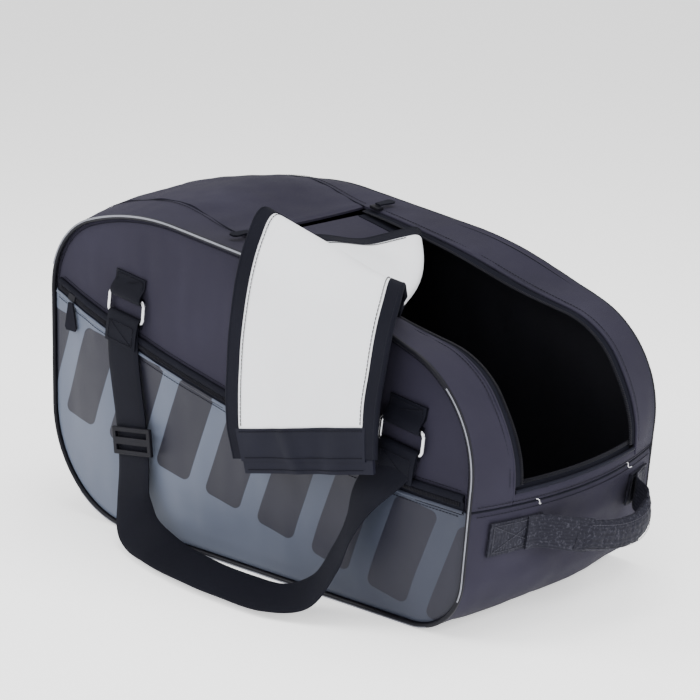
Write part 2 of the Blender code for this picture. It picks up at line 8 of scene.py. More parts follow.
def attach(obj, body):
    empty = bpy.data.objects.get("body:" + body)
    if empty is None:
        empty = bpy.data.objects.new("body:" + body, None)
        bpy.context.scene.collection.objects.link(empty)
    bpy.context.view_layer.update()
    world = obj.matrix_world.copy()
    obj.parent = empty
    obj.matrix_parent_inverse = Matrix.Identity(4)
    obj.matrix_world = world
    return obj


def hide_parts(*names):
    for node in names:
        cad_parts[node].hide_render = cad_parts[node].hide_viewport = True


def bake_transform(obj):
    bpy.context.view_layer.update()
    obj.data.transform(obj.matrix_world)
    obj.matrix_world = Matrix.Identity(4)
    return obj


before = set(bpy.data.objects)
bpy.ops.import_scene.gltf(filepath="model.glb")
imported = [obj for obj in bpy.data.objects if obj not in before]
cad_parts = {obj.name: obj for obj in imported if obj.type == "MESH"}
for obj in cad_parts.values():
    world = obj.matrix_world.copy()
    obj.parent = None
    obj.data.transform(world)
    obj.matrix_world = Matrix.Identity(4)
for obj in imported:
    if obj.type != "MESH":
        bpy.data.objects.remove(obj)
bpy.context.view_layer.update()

# ---------------------------------------------------------------- the part's own constants (metres)
CORNERS = [(0.247, 0.000, 0.057), (0.268, 0.211, 0.100), (0.096, 0.276, 0.396),
           (-0.141, 0.309, 0.274), (-0.254, 0.276, 0.079), (-0.264, 0.000, 0.102)]
HALF_DEPTH, WALL, GAP, MOUTH_HALF = 0.1235, 0.003, 0.0003, 0.084
ROOT_X, SEAM_Z, LIP_Z, PIPING_R = -0.045, 0.112, 0.124, 0.0019
WEB, WEB_T = 0.040, 0.0022
RING_W, RING_H, RING_R = 0.046, 0.021, 0.0018
AXIS_L, AXIS_R, AXIS_Y = (-0.145, 0.2285), (0.190, 0.1755), -0.1298
LID_HALF, FOLD_C = 0.0795, 0.156
ZIP_A, ZIP_B, ZIP_SAG = (-0.250, 0.2230), (0.252, 0.1180), 0.020


def rounded(corners, steps):
    pts, m = [], len(corners)
    for i in range(m):
        p = Vector(corners[i][:2])
        a, b = Vector(corners[i - 1][:2]), Vector(corners[(i + 1) % m][:2])
        r = corners[i][2]
        u, v = (a - p).normalized(), (b - p).normalized()
        h = math.acos(max(-1.0, min(1.0, u.dot(v)))) / 2
        t = r / math.tan(h)
        c = p + (u + v).normalized() * (r / math.sin(h))
        s, e = p + u * t - c, p + v * t - c
        a0, a1 = math.atan2(s.y, s.x), math.atan2(e.y, e.x)
        da = (a1 - a0 + math.pi) % (2 * math.pi) - math.pi
        for k in range(steps + 1):
            an = a0 + da * k / steps
            pts.append(c + Vector((math.cos(an), math.sin(an))) * r)
    return pts


RAW = rounded(CORNERS, 24)
RUN = [0.0]
for i in range(len(RAW)):
    RUN.append(RUN[-1] + (RAW[(i + 1) % len(RAW)] - RAW[i]).length)
ROUND = RUN[-1]
RAWN = np.array([(p.x, p.y) for p in RAW] + [(RAW[0].x, RAW[0].y)])


def at(s):
    s %= ROUND
    return Vector((float(np.interp(s, RUN, RAWN[:, 0])), float(np.interp(s, RUN, RAWN[:, 1]))))


def normal(s):
    t = (at(s + 0.004) - at(s - 0.004)).normalized()
    return Vector((t.y, -t.x))


SS = [ROUND * k / 1600 for k in range(1600)]
PP = np.array([tuple(at(s)) for s in SS])


def near(x, z):
    return SS[int(np.argmin((PP[:, 0] - x) ** 2 + (PP[:, 1] - z) ** 2))]


SWELL = [(near(0.190, 0.0), 0.0), (near(0.252, 0.060), 0.014), (near(0.262, 0.120), 0.020),
         (near(0.245, 0.195), 0.006), (near(0.120, 0.270), -0.020), (near(-0.045, 0.296), -0.004),
         (near(-0.130, 0.303), 0.016), (near(-0.235, 0.270), 0.016), (near(-0.260, 0.130), 0.014),
         (near(-0.235, 0.032), 0.006), (near(-0.160, 0.0), 0.0)]
SWELL.sort()


def swell(s):
    s %= ROUND
    k = SWELL + [(SWELL[0][0] + ROUND, SWELL[0][1])]
    if s < k[0][0]:
        s += ROUND
    for (a, va), (b, vb) in zip(k, k[1:]):
        if a <= s <= b:
            f = (s - a) / (b - a)
            f = f * f * (3 - 2 * f)
            return va + (vb - va) * f
    return 0.0


def skin(s, y, out=0.0):
    p, n = at(s), normal(s)
    d = swell(s) * (1 - (y / HALF_DEPTH) ** 2) + out
    return Vector((p.x + n.x * d, y, p.y + n.y * d))


S_BASE_R, S_BASE_L = near(0.185, 0.0), near(-0.155, 0.0)
S_SEAM, S_LIP = near(0.262, SEAM_Z), near(0.262, LIP_Z)
S_ROOT, S_TOPL = near(ROOT_X, 0.296), near(-0.222, 0.282)


def sm(f):
    f = max(0.0, min(1.0, f))
    return f * f * (3 - 2 * f)


def lengths(keys):
    ts = [0.0]
    for a, b in zip(keys, keys[1:]):
        ts.append(ts[-1] + (Vector(b) - Vector(a)).length)
    return ts


def spline_at(ks, ts, t):
    j = 0
    while j < len(ks) - 2 and t > ts[j + 1]:
        j += 1
    def slope(i):
        lo, hi = max(i - 1, 0), min(i + 1, len(ks) - 1)
        return (ks[hi] - ks[lo]) / (ts[hi] - ts[lo])
    h = ts[j + 1] - ts[j]
    f = (t - ts[j]) / h
    return (ks[j] * (2 * f ** 3 - 3 * f * f + 1) + slope(j) * (h * (f ** 3 - 2 * f * f + f))
            + ks[j + 1] * (3 * f * f - 2 * f ** 3) + slope(j + 1) * (h * (f ** 3 - f * f)))


def spline(keys, n, ts=None):
    ks = [Vector(k) for k in keys]
    ts = ts or lengths(ks)
    return [spline_at(ks, ts, ts[-1] * i / (n - 1)) for i in range(n)]


# ---------------------------------------------------------------- materials
def nodes_of(name):
    m = bpy.data.materials.new(name)
    m.use_nodes = True
    nt = m.node_tree
    return m, nt, nt.nodes["Principled BSDF"]


def math_node(nt, op, a, b=None):
    n = nt.nodes.new("ShaderNodeMath")
    n.operation = op
    for k, v in enumerate((a, b)):
        if v is None:
            continue
        if isinstance(v, (int, float)):
            n.inputs[k].default_value = v
        else:
            nt.links.new(v, n.inputs[k])
    return n.outputs[0]


def mix_rgb(nt, fac, a, b):
    n = nt.nodes.new("ShaderNodeMix")
    n.data_type = "RGBA"
    if isinstance(fac, (int, float)):
        n.inputs[0].default_value = fac
    else:
        nt.links.new(fac, n.inputs[0])
    for k, v in ((6, a), (7, b)):
        if isinstance(v, tuple):
            n.inputs[k].default_value = (*v, 1.0)
        else:
            nt.links.new(v, n.inputs[k])
    return n.outputs[2]


def noise_tex(nt, vec, scale, detail=3.0, rough=0.5):
    n = nt.nodes.new("ShaderNodeTexNoise")
    n.inputs["Scale"].default_value = scale
    n.inputs["Detail"].default_value = detail
    n.inputs["Roughness"].default_value = rough
    nt.links.new(vec, n.inputs["Vector"])
    return n.outputs["Fac"]


def ramp(nt, fac, lo, hi):
    n = nt.nodes.new("ShaderNodeMapRange")
    n.inputs["From Min"].default_value = lo
    n.inputs["From Max"].default_value = hi
    nt.links.new(fac, n.inputs["Value"])
    return n.outputs["Result"]


def bump(nt, height, strength, dist, under=None):
    n = nt.nodes.new("ShaderNodeBump")
    n.inputs["Strength"].default_value = strength
    n.inputs["Distance"].default_value = dist
    nt.links.new(height, n.inputs["Height"])
    if under:
        nt.links.new(under, n.inputs["Normal"])
    return n.outputs["Normal"]


def woven(name, rgb, pitch=0.0009, rough=0.8, sheen=0.25, contrast=0.35, weave=0.5, ribs=0.0, stain=0.18, fleck=None, spec=0.35, cloud=0.0006, coat=0.0):
    """Woven cloth: plain weave from the piece's own UVs (metres), soft unevenness from object space."""
    m, nt, b = nodes_of(name)
    tc = nt.nodes.new("ShaderNodeTexCoord")
    uv = nt.nodes.new("ShaderNodeUVMap")
    sep = nt.nodes.new("ShaderNodeSeparateXYZ")
    nt.links.new(uv.outputs[0], sep.inputs[0])
    k = 2 * math.pi / pitch
    sx = math_node(nt, "SINE", math_node(nt, "MULTIPLY", sep.outputs[0], k))
    sy = math_node(nt, "SINE", math_node(nt, "MULTIPLY", sep.outputs[1], k))
    wv = math_node(nt, "MULTIPLY", sx, sy)
    if ribs:
        rb = math_node(nt, "SINE", math_node(nt, "MULTIPLY", sep.outputs[1], 2 * math.pi / ribs))
        wv = math_node(nt, "ADD", math_node(nt, "MULTIPLY", wv, 0.45), rb)
    big = noise_tex(nt, tc.outputs["Object"], 9.0, 4.0, 0.55)
    fine = noise_tex(nt, tc.outputs["Object"], 900.0, 2.0, 0.6)
    lo = tuple(c * (1 - stain) for c in rgb)
    hi = tuple(min(1.0, c * (1 + stain)) for c in rgb)
    col = mix_rgb(nt, ramp(nt, big, 0.3, 0.7), lo, hi)
    dark = tuple(c * (1 - contrast) for c in rgb)
    f = math_node(nt, "MULTIPLY", ramp(nt, wv, 0.6, -0.6), 0.35)
    col = mix_rgb(nt, f, col, dark)
    if fleck:
        fl = math_node(nt, "MULTIPLY", ramp(nt, noise_tex(nt, tc.outputs["Object"], 420.0, 3.0, 0.7), 0.54, 0.68), 0.75)
        col = mix_rgb(nt, fl, col, fleck)
    nt.links.new(col, b.inputs["Base Color"])
    r = nt.nodes.new("ShaderNodeMapRange")
    r.inputs["To Min"].default_value = max(0.05, rough - 0.10)
    r.inputs["To Max"].default_value = min(1.0, rough + 0.10)
    nt.links.new(fine, r.inputs["Value"])
    nt.links.new(r.outputs["Result"], b.inputs["Roughness"])
    b.inputs["Sheen Weight"].default_value = sheen
    b.inputs["Sheen Roughness"].default_value = 0.45
    b.inputs["Specular IOR Level"].default_value = spec
    b.inputs["Coat Weight"].default_value = coat
    b.inputs["Coat Roughness"].default_value = 0.35
    n1 = bump(nt, noise_tex(nt, tc.outputs["Object"], 55.0, 3.0, 0.5), 0.35, cloud)
    n2 = bump(nt, wv, weave, 0.00012, n1)
    nt.links.new(n2, b.inputs["Normal"])
    return m


def pocket_material():
    """Coated satin cloth with a broad tone-on-tone pattern of slanted, round-ended bars, over painted light and shade:
    lighter towards the left and top, darker towards the right and bottom.
    """
    m, nt, b = nodes_of("pocket_satin")
    tc = nt.nodes.new("ShaderNodeTexCoord")
    sep = nt.nodes.new("ShaderNodeSeparateXYZ")
    nt.links.new(tc.outputs["Object"], sep.inputs[0])
    x, z = sep.outputs[0], sep.outputs[2]
    # band coordinate: t runs across the bar band, following the zip's slope
    t = math_node(nt, "ADD", z, math_node(nt, "MULTIPLY", x, 0.195))
    lean = math_node(nt, "SUBTRACT", x, math_node(nt, "MULTIPLY", z, 0.42))
    cell = math_node(nt, "FRACT", math_node(nt, "DIVIDE", math_node(nt, "ADD", lean, 0.5065), 0.0700))
    px = math_node(nt, "ABSOLUTE", math_node(nt, "SUBTRACT", math_node(nt, "MULTIPLY", cell, 0.0700), 0.035))
    pz = math_node(nt, "ABSOLUTE", math_node(nt, "SUBTRACT", t, 0.102))
    dx = math_node(nt, "MAXIMUM", math_node(nt, "SUBTRACT", px, 0.0155), 0.0)
    dz = math_node(nt, "MAXIMUM", math_node(nt, "SUBTRACT", pz, 0.040), 0.0)
    dist = math_node(nt, "SQRT", math_node(nt, "ADD", math_node(nt, "MULTIPLY", dx, dx), math_node(nt, "MULTIPLY", dz, dz)))
    bars = ramp(nt, dist, 0.0083, 0.0077)
    big = noise_tex(nt, tc.outputs["Object"], 7.0, 4.0, 0.55)
    # painted light and shade: the pocket cloth is mixed from a lighter tone at the left and top to a darker tone at the
    # right and bottom, standing in for the key light's falloff
    painted_lit_side = mix_rgb(nt, ramp(nt, big, 0.3, 0.7), (0.074, 0.088, 0.126), (0.094, 0.111, 0.153))
    painted_shaded_side = mix_rgb(nt, ramp(nt, big, 0.3, 0.7), (0.023, 0.027, 0.042), (0.031, 0.036, 0.055))
    base = mix_rgb(nt, ramp(nt, math_node(nt, "SUBTRACT", x, math_node(nt, "MULTIPLY", z, 0.9)), -0.16, 0.14), painted_lit_side, painted_shaded_side)
    ink = mix_rgb(nt, ramp(nt, big, 0.3, 0.7), (0.0100, 0.0100, 0.0180), (0.0130, 0.0130, 0.0225))
    col = mix_rgb(nt, bars, base, ink)
    k = 2 * math.pi / 0.0008
    wv = math_node(nt, "MULTIPLY", math_node(nt, "SINE", math_node(nt, "MULTIPLY", x, k)),
                   math_node(nt, "SINE", math_node(nt, "MULTIPLY", z, k)))
    col = mix_rgb(nt, math_node(nt, "MULTIPLY", ramp(nt, wv, 0.7, -0.7), 0.10), col, (0.03, 0.035, 0.05))
    nt.links.new(col, b.inputs["Base Color"])
    r = nt.nodes.new("ShaderNodeMapRange")
    r.inputs["To Min"].default_value = 0.34
    r.inputs["To Max"].default_value = 0.46
    nt.links.new(noise_tex(nt, tc.outputs["Object"], 25.0, 4.0, 0.6), r.inputs["Value"])
    nt.links.new(r.outputs["Result"], b.inputs["Roughness"])
    b.inputs["Specular IOR Level"].default_value = 0.20
    b.inputs["Sheen Weight"].default_value = 0.02
    n1 = bump(nt, noise_tex(nt, tc.outputs["Object"], 26.0, 3.0, 0.5), 0.4, 0.0011)
    n2 = bump(nt, wv, 0.35, 0.00008, n1)
    n3 = bump(nt, bars, 0.35, 0.0002, n2)
    nt.links.new(n3, b.inputs["Normal"])
    return m


def hard(name, rgb, rough=0.45, metal=0.0, grain=700.0, grain_d=0.00006, stain=0.15, spec=0.5, stretch=None):
    m, nt, b = nodes_of(name)
    tc = nt.nodes.new("ShaderNodeTexCoord")
    vec = tc.outputs["Object"]
    if stretch:
        mp = nt.nodes.new("ShaderNodeMapping")
        mp.inputs["Scale"].default_value = stretch
        nt.links.new(vec, mp.inputs["Vector"])
        vec = mp.outputs["Vector"]
    big = noise_tex(nt, tc.outputs["Object"], 60.0, 4.0, 0.6)
    fine = noise_tex(nt, vec, grain, 3.0, 0.6)
    col = mix_rgb(nt, ramp(nt, big, 0.3, 0.7), tuple(c * (1 - stain) for c in rgb), tuple(min(1, c * (1 + stain)) for c in rgb))
    nt.links.new(col, b.inputs["Base Color"])
    b.inputs["Metallic"].default_value = metal
    b.inputs["Specular IOR Level"].default_value = spec
    r = nt.nodes.new("ShaderNodeMapRange")
    r.inputs["To Min"].default_value = max(0.04, rough - 0.08)
    r.inputs["To Max"].default_value = min(1.0, rough + 0.10)
    nt.links.new(fine, r.inputs["Value"])
    nt.links.new(r.outputs["Result"], b.inputs["Roughness"])
    nt.links.new(bump(nt, fine, 0.4, grain_d), b.inputs["Normal"])
    return m


SHELL = woven("shell_polyester", (0.0205, 0.0188, 0.0320), pitch=0.0011, rough=0.74, sheen=0.015, weave=0.6, spec=0.10)
SHELL_IN = woven("shell_backing", (0.010, 0.010, 0.015), pitch=0.0012, rough=0.85, sheen=0.02, weave=0.4, spec=0.15)
LINING = woven("lid_lining_cloth", (0.83, 0.84, 0.875), pitch=0.0010, rough=0.46, sheen=0.05, contrast=0.12, weave=0.35, stain=0.03, spec=0.45, cloud=0.0011)
BLACK_LINING = woven("inner_lining_cloth", (0.006, 0.006, 0.009), pitch=0.0012, rough=0.7, sheen=0.02, weave=0.4, spec=0.15)
WEBBING = woven("webbing_strap", (0.0055, 0.0058, 0.0100), pitch=0.0013, rough=0.66, sheen=0.004, contrast=0.35, weave=0.6, stain=0.15, spec=0.06)
FLECKED = woven("webbing_flecked", (0.0120, 0.0120, 0.0190), pitch=0.0016, rough=0.64, sheen=0.010, contrast=0.5, weave=0.8, ribs=0.0030, fleck=(0.045, 0.045, 0.060), spec=0.10)
TAPE = woven("zip_tape", (0.0065, 0.0068, 0.0115), pitch=0.0009, rough=0.70, sheen=0.004, weave=0.6, spec=0.05)
BAND = woven("lid_band_cloth", (0.0080, 0.0084, 0.0155), pitch=0.0010, rough=0.62, sheen=0.006, weave=0.5, spec=0.08)
POCKET = pocket_material()
PIPE_DARK = hard("piping_coat", (0.0070, 0.0070, 0.0105), rough=0.45, grain=420.0, spec=0.12)
# painted highlight: light grey for the thin strips laid on the dark piping cord where light catches it
PIPE_PAINTED_HIGHLIGHT = hard("piping_painted_highlight", (0.17, 0.175, 0.205), rough=0.36, grain=420.0, spec=0.3)
TEETH = hard("zip_coil", (0.0075, 0.0075, 0.0115), rough=0.42, spec=0.15)
METAL = hard("ring_steel", (0.62, 0.62, 0.65), rough=0.24, metal=1.0, stretch=(1, 1, 9), grain=300.0, grain_d=0.00003, stain=0.06)
PLASTIC = hard("moulded_black", (0.0050, 0.0050, 0.0080), rough=0.50, grain=900.0, spec=0.10)
THREAD_D = hard("thread_dark", (0.0085, 0.0085, 0.0130), rough=0.75, grain=2500.0, spec=0.08)
THREAD_G = hard("thread_grey", (0.045, 0.045, 0.058), rough=0.75, grain=2500.0, spec=0.1)
THREAD_W = hard("thread_white", (0.75, 0.75, 0.78), rough=0.7, grain=2500.0)
BOARD = hard("stiffener_board", (0.09, 0.09, 0.10), rough=0.8, grain=260.0, grain_d=0.0002)


# ---------------------------------------------------------------- mesh helpers
def make(name, verts, faces, mats, uvs=None, face_mats=None, smooth=True):
    me = bpy.data.meshes.new(name)
    me.from_pydata([tuple(v) for v in verts], [], faces)
    me.validate()
    for m in mats:
        me.materials.append(m)
    if face_mats is not None and len(face_mats) == len(me.polygons):
        me.polygons.foreach_set("material_index", face_mats)
    uvl = me.uv_layers.new(name="UVMap")
    if uvs is not None:
        flat = np.zeros(len(me.loops) * 2, np.float32)
        idx = np.zeros(len(me.loops), np.int32)
        me.loops.foreach_get("vertex_index", idx)
        arr = np.array([tuple(u) for u in uvs], np.float32)
        flat[:] = arr[idx].reshape(-1)
        uvl.data.foreach_set("uv", flat)
    if smooth:
        me.polygons.foreach_set("use_smooth", [True] * len(me.polygons))
        me.set_sharp_from_angle(angle=math.radians(50))
    me.update()
    ob = bpy.data.objects.new(name, me)
    bpy.context.scene.collection.objects.link(ob)
    return ob


def outward(ob):
    """Turn a closed piece's faces outwards."""
    import bmesh
    bm = bmesh.new()
    bm.from_mesh(ob.data)
    bmesh.ops.recalc_face_normals(bm, faces=bm.faces)
    if bm.calc_volume(signed=True) < 0:
        bmesh.ops.reverse_faces(bm, faces=bm.faces)
    bm.to_mesh(ob.data)
    bm.free()
    return ob


def grid_solid(name, P, mats, t_out, t_in, uv=None, side_of=None, flip=False):
    """Closed sheet around the grid of points P[i][j]: offset t_out along the grid's normal and t_in against it.
    mats = [outer, inner, edge]."""
    P = np.array([[tuple(p) for p in row] for row in P], float)
    ni, nj = P.shape[:2]
    du = np.gradient(P, axis=0)
    dv = np.gradient(P, axis=1)
    N = np.cross(du, dv)
    N /= np.maximum(np.linalg.norm(N, axis=2, keepdims=True), 1e-12)
    if flip:
        N = -N
    A, B = P + N * t_out, P - N * t_in
    verts = [tuple(v) for v in A.reshape(-1, 3)] + [tuple(v) for v in B.reshape(-1, 3)]
    off = ni * nj
    faces, fm = [], []
    for i in range(ni - 1):
        for j in range(nj - 1):
            a, b, c, d = i * nj + j, (i + 1) * nj + j, (i + 1) * nj + j + 1, i * nj + j + 1
            faces.append((a, b, c, d)); fm.append(0)
            faces.append((off + a, off + d, off + c, off + b)); fm.append(1)
    rim = [(i, 0) for i in range(ni)] + [(ni - 1, j) for j in range(1, nj)] + [(i, nj - 1) for i in range(ni - 2, -1, -1)] + [(0, j) for j in range(nj - 2, 0, -1)]
    for (i0, j0), (i1, j1) in zip(rim, rim[1:] + rim[:1]):
        a, b = i0 * nj + j0, i1 * nj + j1
        faces.append((a, off + a, off + b, b)); fm.append(2 if len(mats) > 2 else 0)
    if uv is None:
        lu = np.concatenate([[0], np.cumsum(np.linalg.norm(np.diff(P[:, nj // 2], axis=0), axis=1))])
        lv = np.concatenate([[0], np.cumsum(np.linalg.norm(np.diff(P[ni // 2], axis=0), axis=1))])
        uv = [(lu[i], lv[j]) for i in range(ni) for j in range(nj)]
    ob = make(name, verts, faces, mats, list(uv) * 2, fm)
    return outward(ob)


def ripple(x, y, z, f, seed=0.0):
    return noise.noise(Vector((x * f + seed, y * f - seed * 1.7, z * f + seed * 0.6)))


def star_plate(name, border, centre, y_fn, thick, mats, rings=44, side=-1):
    """Closed sheet filling a closed XZ border; y_fn(x, z) is its outer face; thick goes inwards."""
    m = len(border)
    verts, faces, fm = [], [], []
    cx, cz = centre
    for layer in (0, 1):
        for r in range(rings):
            f = 1 - r / rings
            f = f ** 0.9
            for (x, z) in border:
                px, pz = cx + (x - cx) * f, cz + (z - cz) * f
                y = y_fn(px, pz) - side * thick * layer
                verts.append((px, y, pz))
        verts.append((cx, y_fn(cx, cz) - side * thick * layer, cz))
    per = rings * m + 1
    for layer in (0, 1):
        o = layer * per
        for r in range(rings - 1):
            for k in range(m):
                a, b = o + r * m + k, o + r * m + (k + 1) % m
                faces.append((a, b, b + m, a + m)); fm.append(layer if len(mats) > 1 else 0)
        for k in range(m):
            faces.append((o + (rings - 1) * m + k, o + (rings - 1) * m + (k + 1) % m, o + per - 1)); fm.append(layer if len(mats) > 1 else 0)
    for k in range(m):
        a, b = k, (k + 1) % m
        faces.append((a, b, per + b, per + a)); fm.append(0)
    ob = make(name, verts, faces, mats, [(v[0], v[2]) for v in verts], fm)
    return outward(ob)


def tube_mesh(name, pts, r, mats, cyclic=False, sides=10, radii=None, mat_fn=None):
    """Round tube along pts."""
    P = [Vector(p) for p in pts]
    n = len(P)
    verts, faces, fm, uvs = [], [], [], []
    up = None
    run = 0.0
    for i in range(n):
        a = P[i - 1] if (cyclic or i > 0) else P[i]
        b = P[(i + 1) % n] if (cyclic or i < n - 1) else P[i]
        t = (b - a).normalized()
        if up is None:
            up = t.orthogonal().normalized()
        up = (up - t * up.dot(t)).normalized()
        w = t.cross(up)
        rr = radii[i] if radii else r
        if i:
            run += (P[i] - P[i - 1]).length
        for k in range(sides):
            an = 2 * math.pi * k / sides
            verts.append(P[i] + up * (math.cos(an) * rr) + w * (math.sin(an) * rr))
            uvs.append((run, rr * an))
    last = n if cyclic else n - 1
    for i in range(last):
        j = (i + 1) % n
        for k in range(sides):
            faces.append((i * sides + k, j * sides + k, j * sides + (k + 1) % sides, i * sides + (k + 1) % sides))
            fm.append(mat_fn(P[i]) if mat_fn else 0)
    if not cyclic:
        faces.append(tuple(range(sides))); fm.append(0)
        faces.append(tuple((n - 1) * sides + k for k in range(sides))[::-1]); fm.append(0)
    return outward(make(name, verts, faces, mats, uvs, fm))


def ribbon(name, centre, across, w, t, mats, bow=0.0, cross=14, wave=0.0, seed=0.0):
    """Webbing: rounded flat section along centre, width direction across."""
    n = len(centre)
    verts, faces, uvs = [], [], []
    run = 0.0
    sec = []
    for k in range(cross):
        f = k / (cross - 1)
        sec.append((-1 + 2 * f, 1.0))
    for k in range(cross):
        f = k / (cross - 1)
        sec.append((1 - 2 * f, -1.0))
    for i in range(n):
        p = Vector(centre[i])
        tan = (Vector(centre[min(i + 1, n - 1)]) - Vector(centre[max(i - 1, 0)])).normalized()
        a = Vector(across[i])
        a = (a - tan * a.dot(tan)).normalized()
        nn = tan.cross(a).normalized()
        if i:
            run += (p - Vector(centre[i - 1])).length
        for (sa, sn) in sec:
            edge = max(0.0, (abs(sa) - 0.93) / 0.07)
            h = t / 2 * (1 - 0.55 * edge)
            off = bow * (1 - sa * sa)
            if wave:
                off += wave * ripple(run, sa * 0.02, 0.0, 28.0, seed)
            verts.append(p + a * (w / 2 * sa) + nn * (sn * h + off))
            uvs.append((run, sa * w / 2))
    m = len(sec)
    for i in range(n - 1):
        for k in range(m):
            faces.append((i * m + k, (i + 1) * m + k, (i + 1) * m + (k + 1) % m, i * m + (k + 1) % m))
    faces.append(tuple(range(m)))
    faces.append(tuple((n - 1) * m + k for k in range(m))[::-1])
    return outward(make(name, verts, faces, mats, uvs))


def dashes(name, path, mat, normal_fn, pitch=0.0034, length=0.0023, r=0.00032, lift=0.0003):
    """Row of sewn stitches along a path of points: one little rounded thread per stitch."""
    P = [Vector(p) for p in path]
    ts = lengths(P)
    total = ts[-1]
    verts, faces = [], []
    arr = np.array([tuple(p) for p in P])
    def pos(t):
        return Vector((float(np.interp(t, ts, arr[:, 0])), float(np.interp(t, ts, arr[:, 1])), float(np.interp(t, ts, arr[:, 2]))))
    t = pitch / 2
    while t + length < total:
        a, b = pos(t), pos(t + length)
        mid = pos(t + length / 2)
        n = Vector(normal_fn(mid)).normalized()
        d = (b - a).normalized()
        w = d.cross(n).normalized()
        base = len(verts)
        for f, hgt in ((0.0, -0.6), (0.22, 0.75), (0.78, 0.75), (1.0, -0.6)):
            c = a.lerp(b, f) + n * (lift + r * hgt * 0.6)
            for k in range(6):
                an = 2 * math.pi * k / 6
                verts.append(c + w * (math.cos(an) * r) + n * (math.sin(an) * r))
        for q in range(3):
            for k in range(6):
                faces.append((base + q * 6 + k, base + q * 6 + (k + 1) % 6, base + (q + 1) * 6 + (k + 1) % 6, base + (q + 1) * 6 + k))
        faces.append(tuple(base + k for k in range(6))[::-1])
        faces.append(tuple(base + 18 + k for k in range(6)))
        t += pitch
    return outward(make(name, verts, faces, [mat], [(v[0], v[2]) for v in verts]))


def teeth(name, path, up_fn, mat, pitch=0.0016, w=0.0042, h=0.0013, l=0.00095):
    """Zip coil: one rounded bar per tooth pair across the path."""
    P = [Vector(p) for p in path]
    ts = lengths(P)
    arr = np.array([tuple(p) for p in P])
    def pos(t):
        return Vector((float(np.interp(t, ts, arr[:, 0])), float(np.interp(t, ts, arr[:, 1])), float(np.interp(t, ts, arr[:, 2]))))
    verts, faces = [], []
    t = pitch
    while t < ts[-1] - pitch:
        c = pos(t)
        d = (pos(t + 0.0005) - pos(t - 0.0005)).normalized()
        n = Vector(up_fn(c)).normalized()
        s = d.cross(n).normalized()
        n = s.cross(d).normalized()
        base = len(verts)
        for q, f in ((-1.0, 0.35), (-0.72, 1.0), (0.0, 1.12), (0.72, 1.0), (1.0, 0.35)):
            for dd, hh in ((-1, -0.2), (-0.8, 0.75), (0.0, 1.0), (0.8, 0.75), (1, -0.2)):
                verts.append(c + s * (w / 2 * q) + d * (l / 2 * dd) + n * (h * hh * f))
        for q in range(4):
            for k in range(5):
                faces.append((base + q * 5 + k, base + q * 5 + (k + 1) % 5, base + (q + 1) * 5 + (k + 1) % 5, base + (q + 1) * 5 + k))
        faces.append(tuple(base + k for k in range(5))[::-1])
        faces.append(tuple(base + 20 + k for k in range(5)))
        t += pitch
    return outward(make(name, verts, faces, [mat], [(v[0], v[2]) for v in verts]))


def bag(ob, *nodes, slot=None):
    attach(ob, "bag")
    if nodes:
        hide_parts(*nodes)
    return ob


# ---------------------------------------------------------------- front and back faces
def edge_dist(x, z):
    return float(np.sqrt(((PP[:, 0] - x) ** 2 + (PP[:, 1] - z) ** 2).min()))


def puff(x, z, amount):
    d = edge_dist(x, z)
    roll = 0.0022 * (1 - sm(d / 0.010))
    return amount * sm(d / 0.075) - roll


def face_front(x, z):
    """Outer face of the front panel: slight crown with soft upright ripples."""
    d = sm(edge_dist(x, z) / 0.05)
    rip = 0.0013 * noise.noise(Vector((x * 34 + 2.1, z * 7.0, 0.7))) + 0.0007 * noise.noise(Vector((x * 80, z * 16.0, 4.0)))
    top = sm((z - 0.17) / 0.08)
    return -(HALF_DEPTH + puff(x, z, 0.0036) + rip * d * (0.45 + 0.75 * top))


def face_back(x, z):
    d = sm(edge_dist(x, z) / 0.05)
    rip = 0.0016 * noise.noise(Vector((x * 26 + 9.1, z * 7.0, 3.7))) + 0.0008 * noise.noise(Vector((x * 70, z * 20.0, 8.0)))
    return HALF_DEPTH + puff(x, z, 0.0060) + rip * d


BORDER = [(p.x, p.y) for p in [at(ROUND * k / 260) - normal(ROUND * k / 260) * 0.0008 for k in range(260)]]
bag(star_plate("front_cloth", BORDER, (0.0, 0.14), face_front, WALL, [SHELL, SHELL_IN], side=-1), "front_panel", slot="shell_cloth")
bag(star_plate("back_cloth", BORDER, (0.0, 0.14), face_back, WALL, [SHELL, SHELL_IN], side=1), "back_panel", slot="shell_cloth")
INNER = [(p.x, p.y) for p in [at(ROUND * k / 160) - normal(ROUND * k / 160) * 0.010 for k in range(160)]]


def lining_y(sign):
    y0 = sign * (HALF_DEPTH - WALL - 0.0016)
    return lambda x, z: y0 - sign * abs(0.0022 * noise.noise(Vector((x * 22, z * 15, sign * 5.0)))) * sm(edge_dist(x, z) / 0.05) + sign * 0.0028 * sm(edge_dist(x, z) / 0.09) * 0.4


bag(star_plate("front_lining_cloth", INNER, (0.0, 0.14), lining_y(-1), 0.0012, [BLACK_LINING], rings=30, side=1), "front_lining", slot="inner_lining")
bag(star_plate("back_lining_cloth", INNER, (0.0, 0.14), lining_y(1), 0.0012, [BLACK_LINING], rings=30, side=-1), "back_lining", slot="inner_lining")

# ---------------------------------------------------------------- gusset panels
YE = HALF_DEPTH + 0.0006


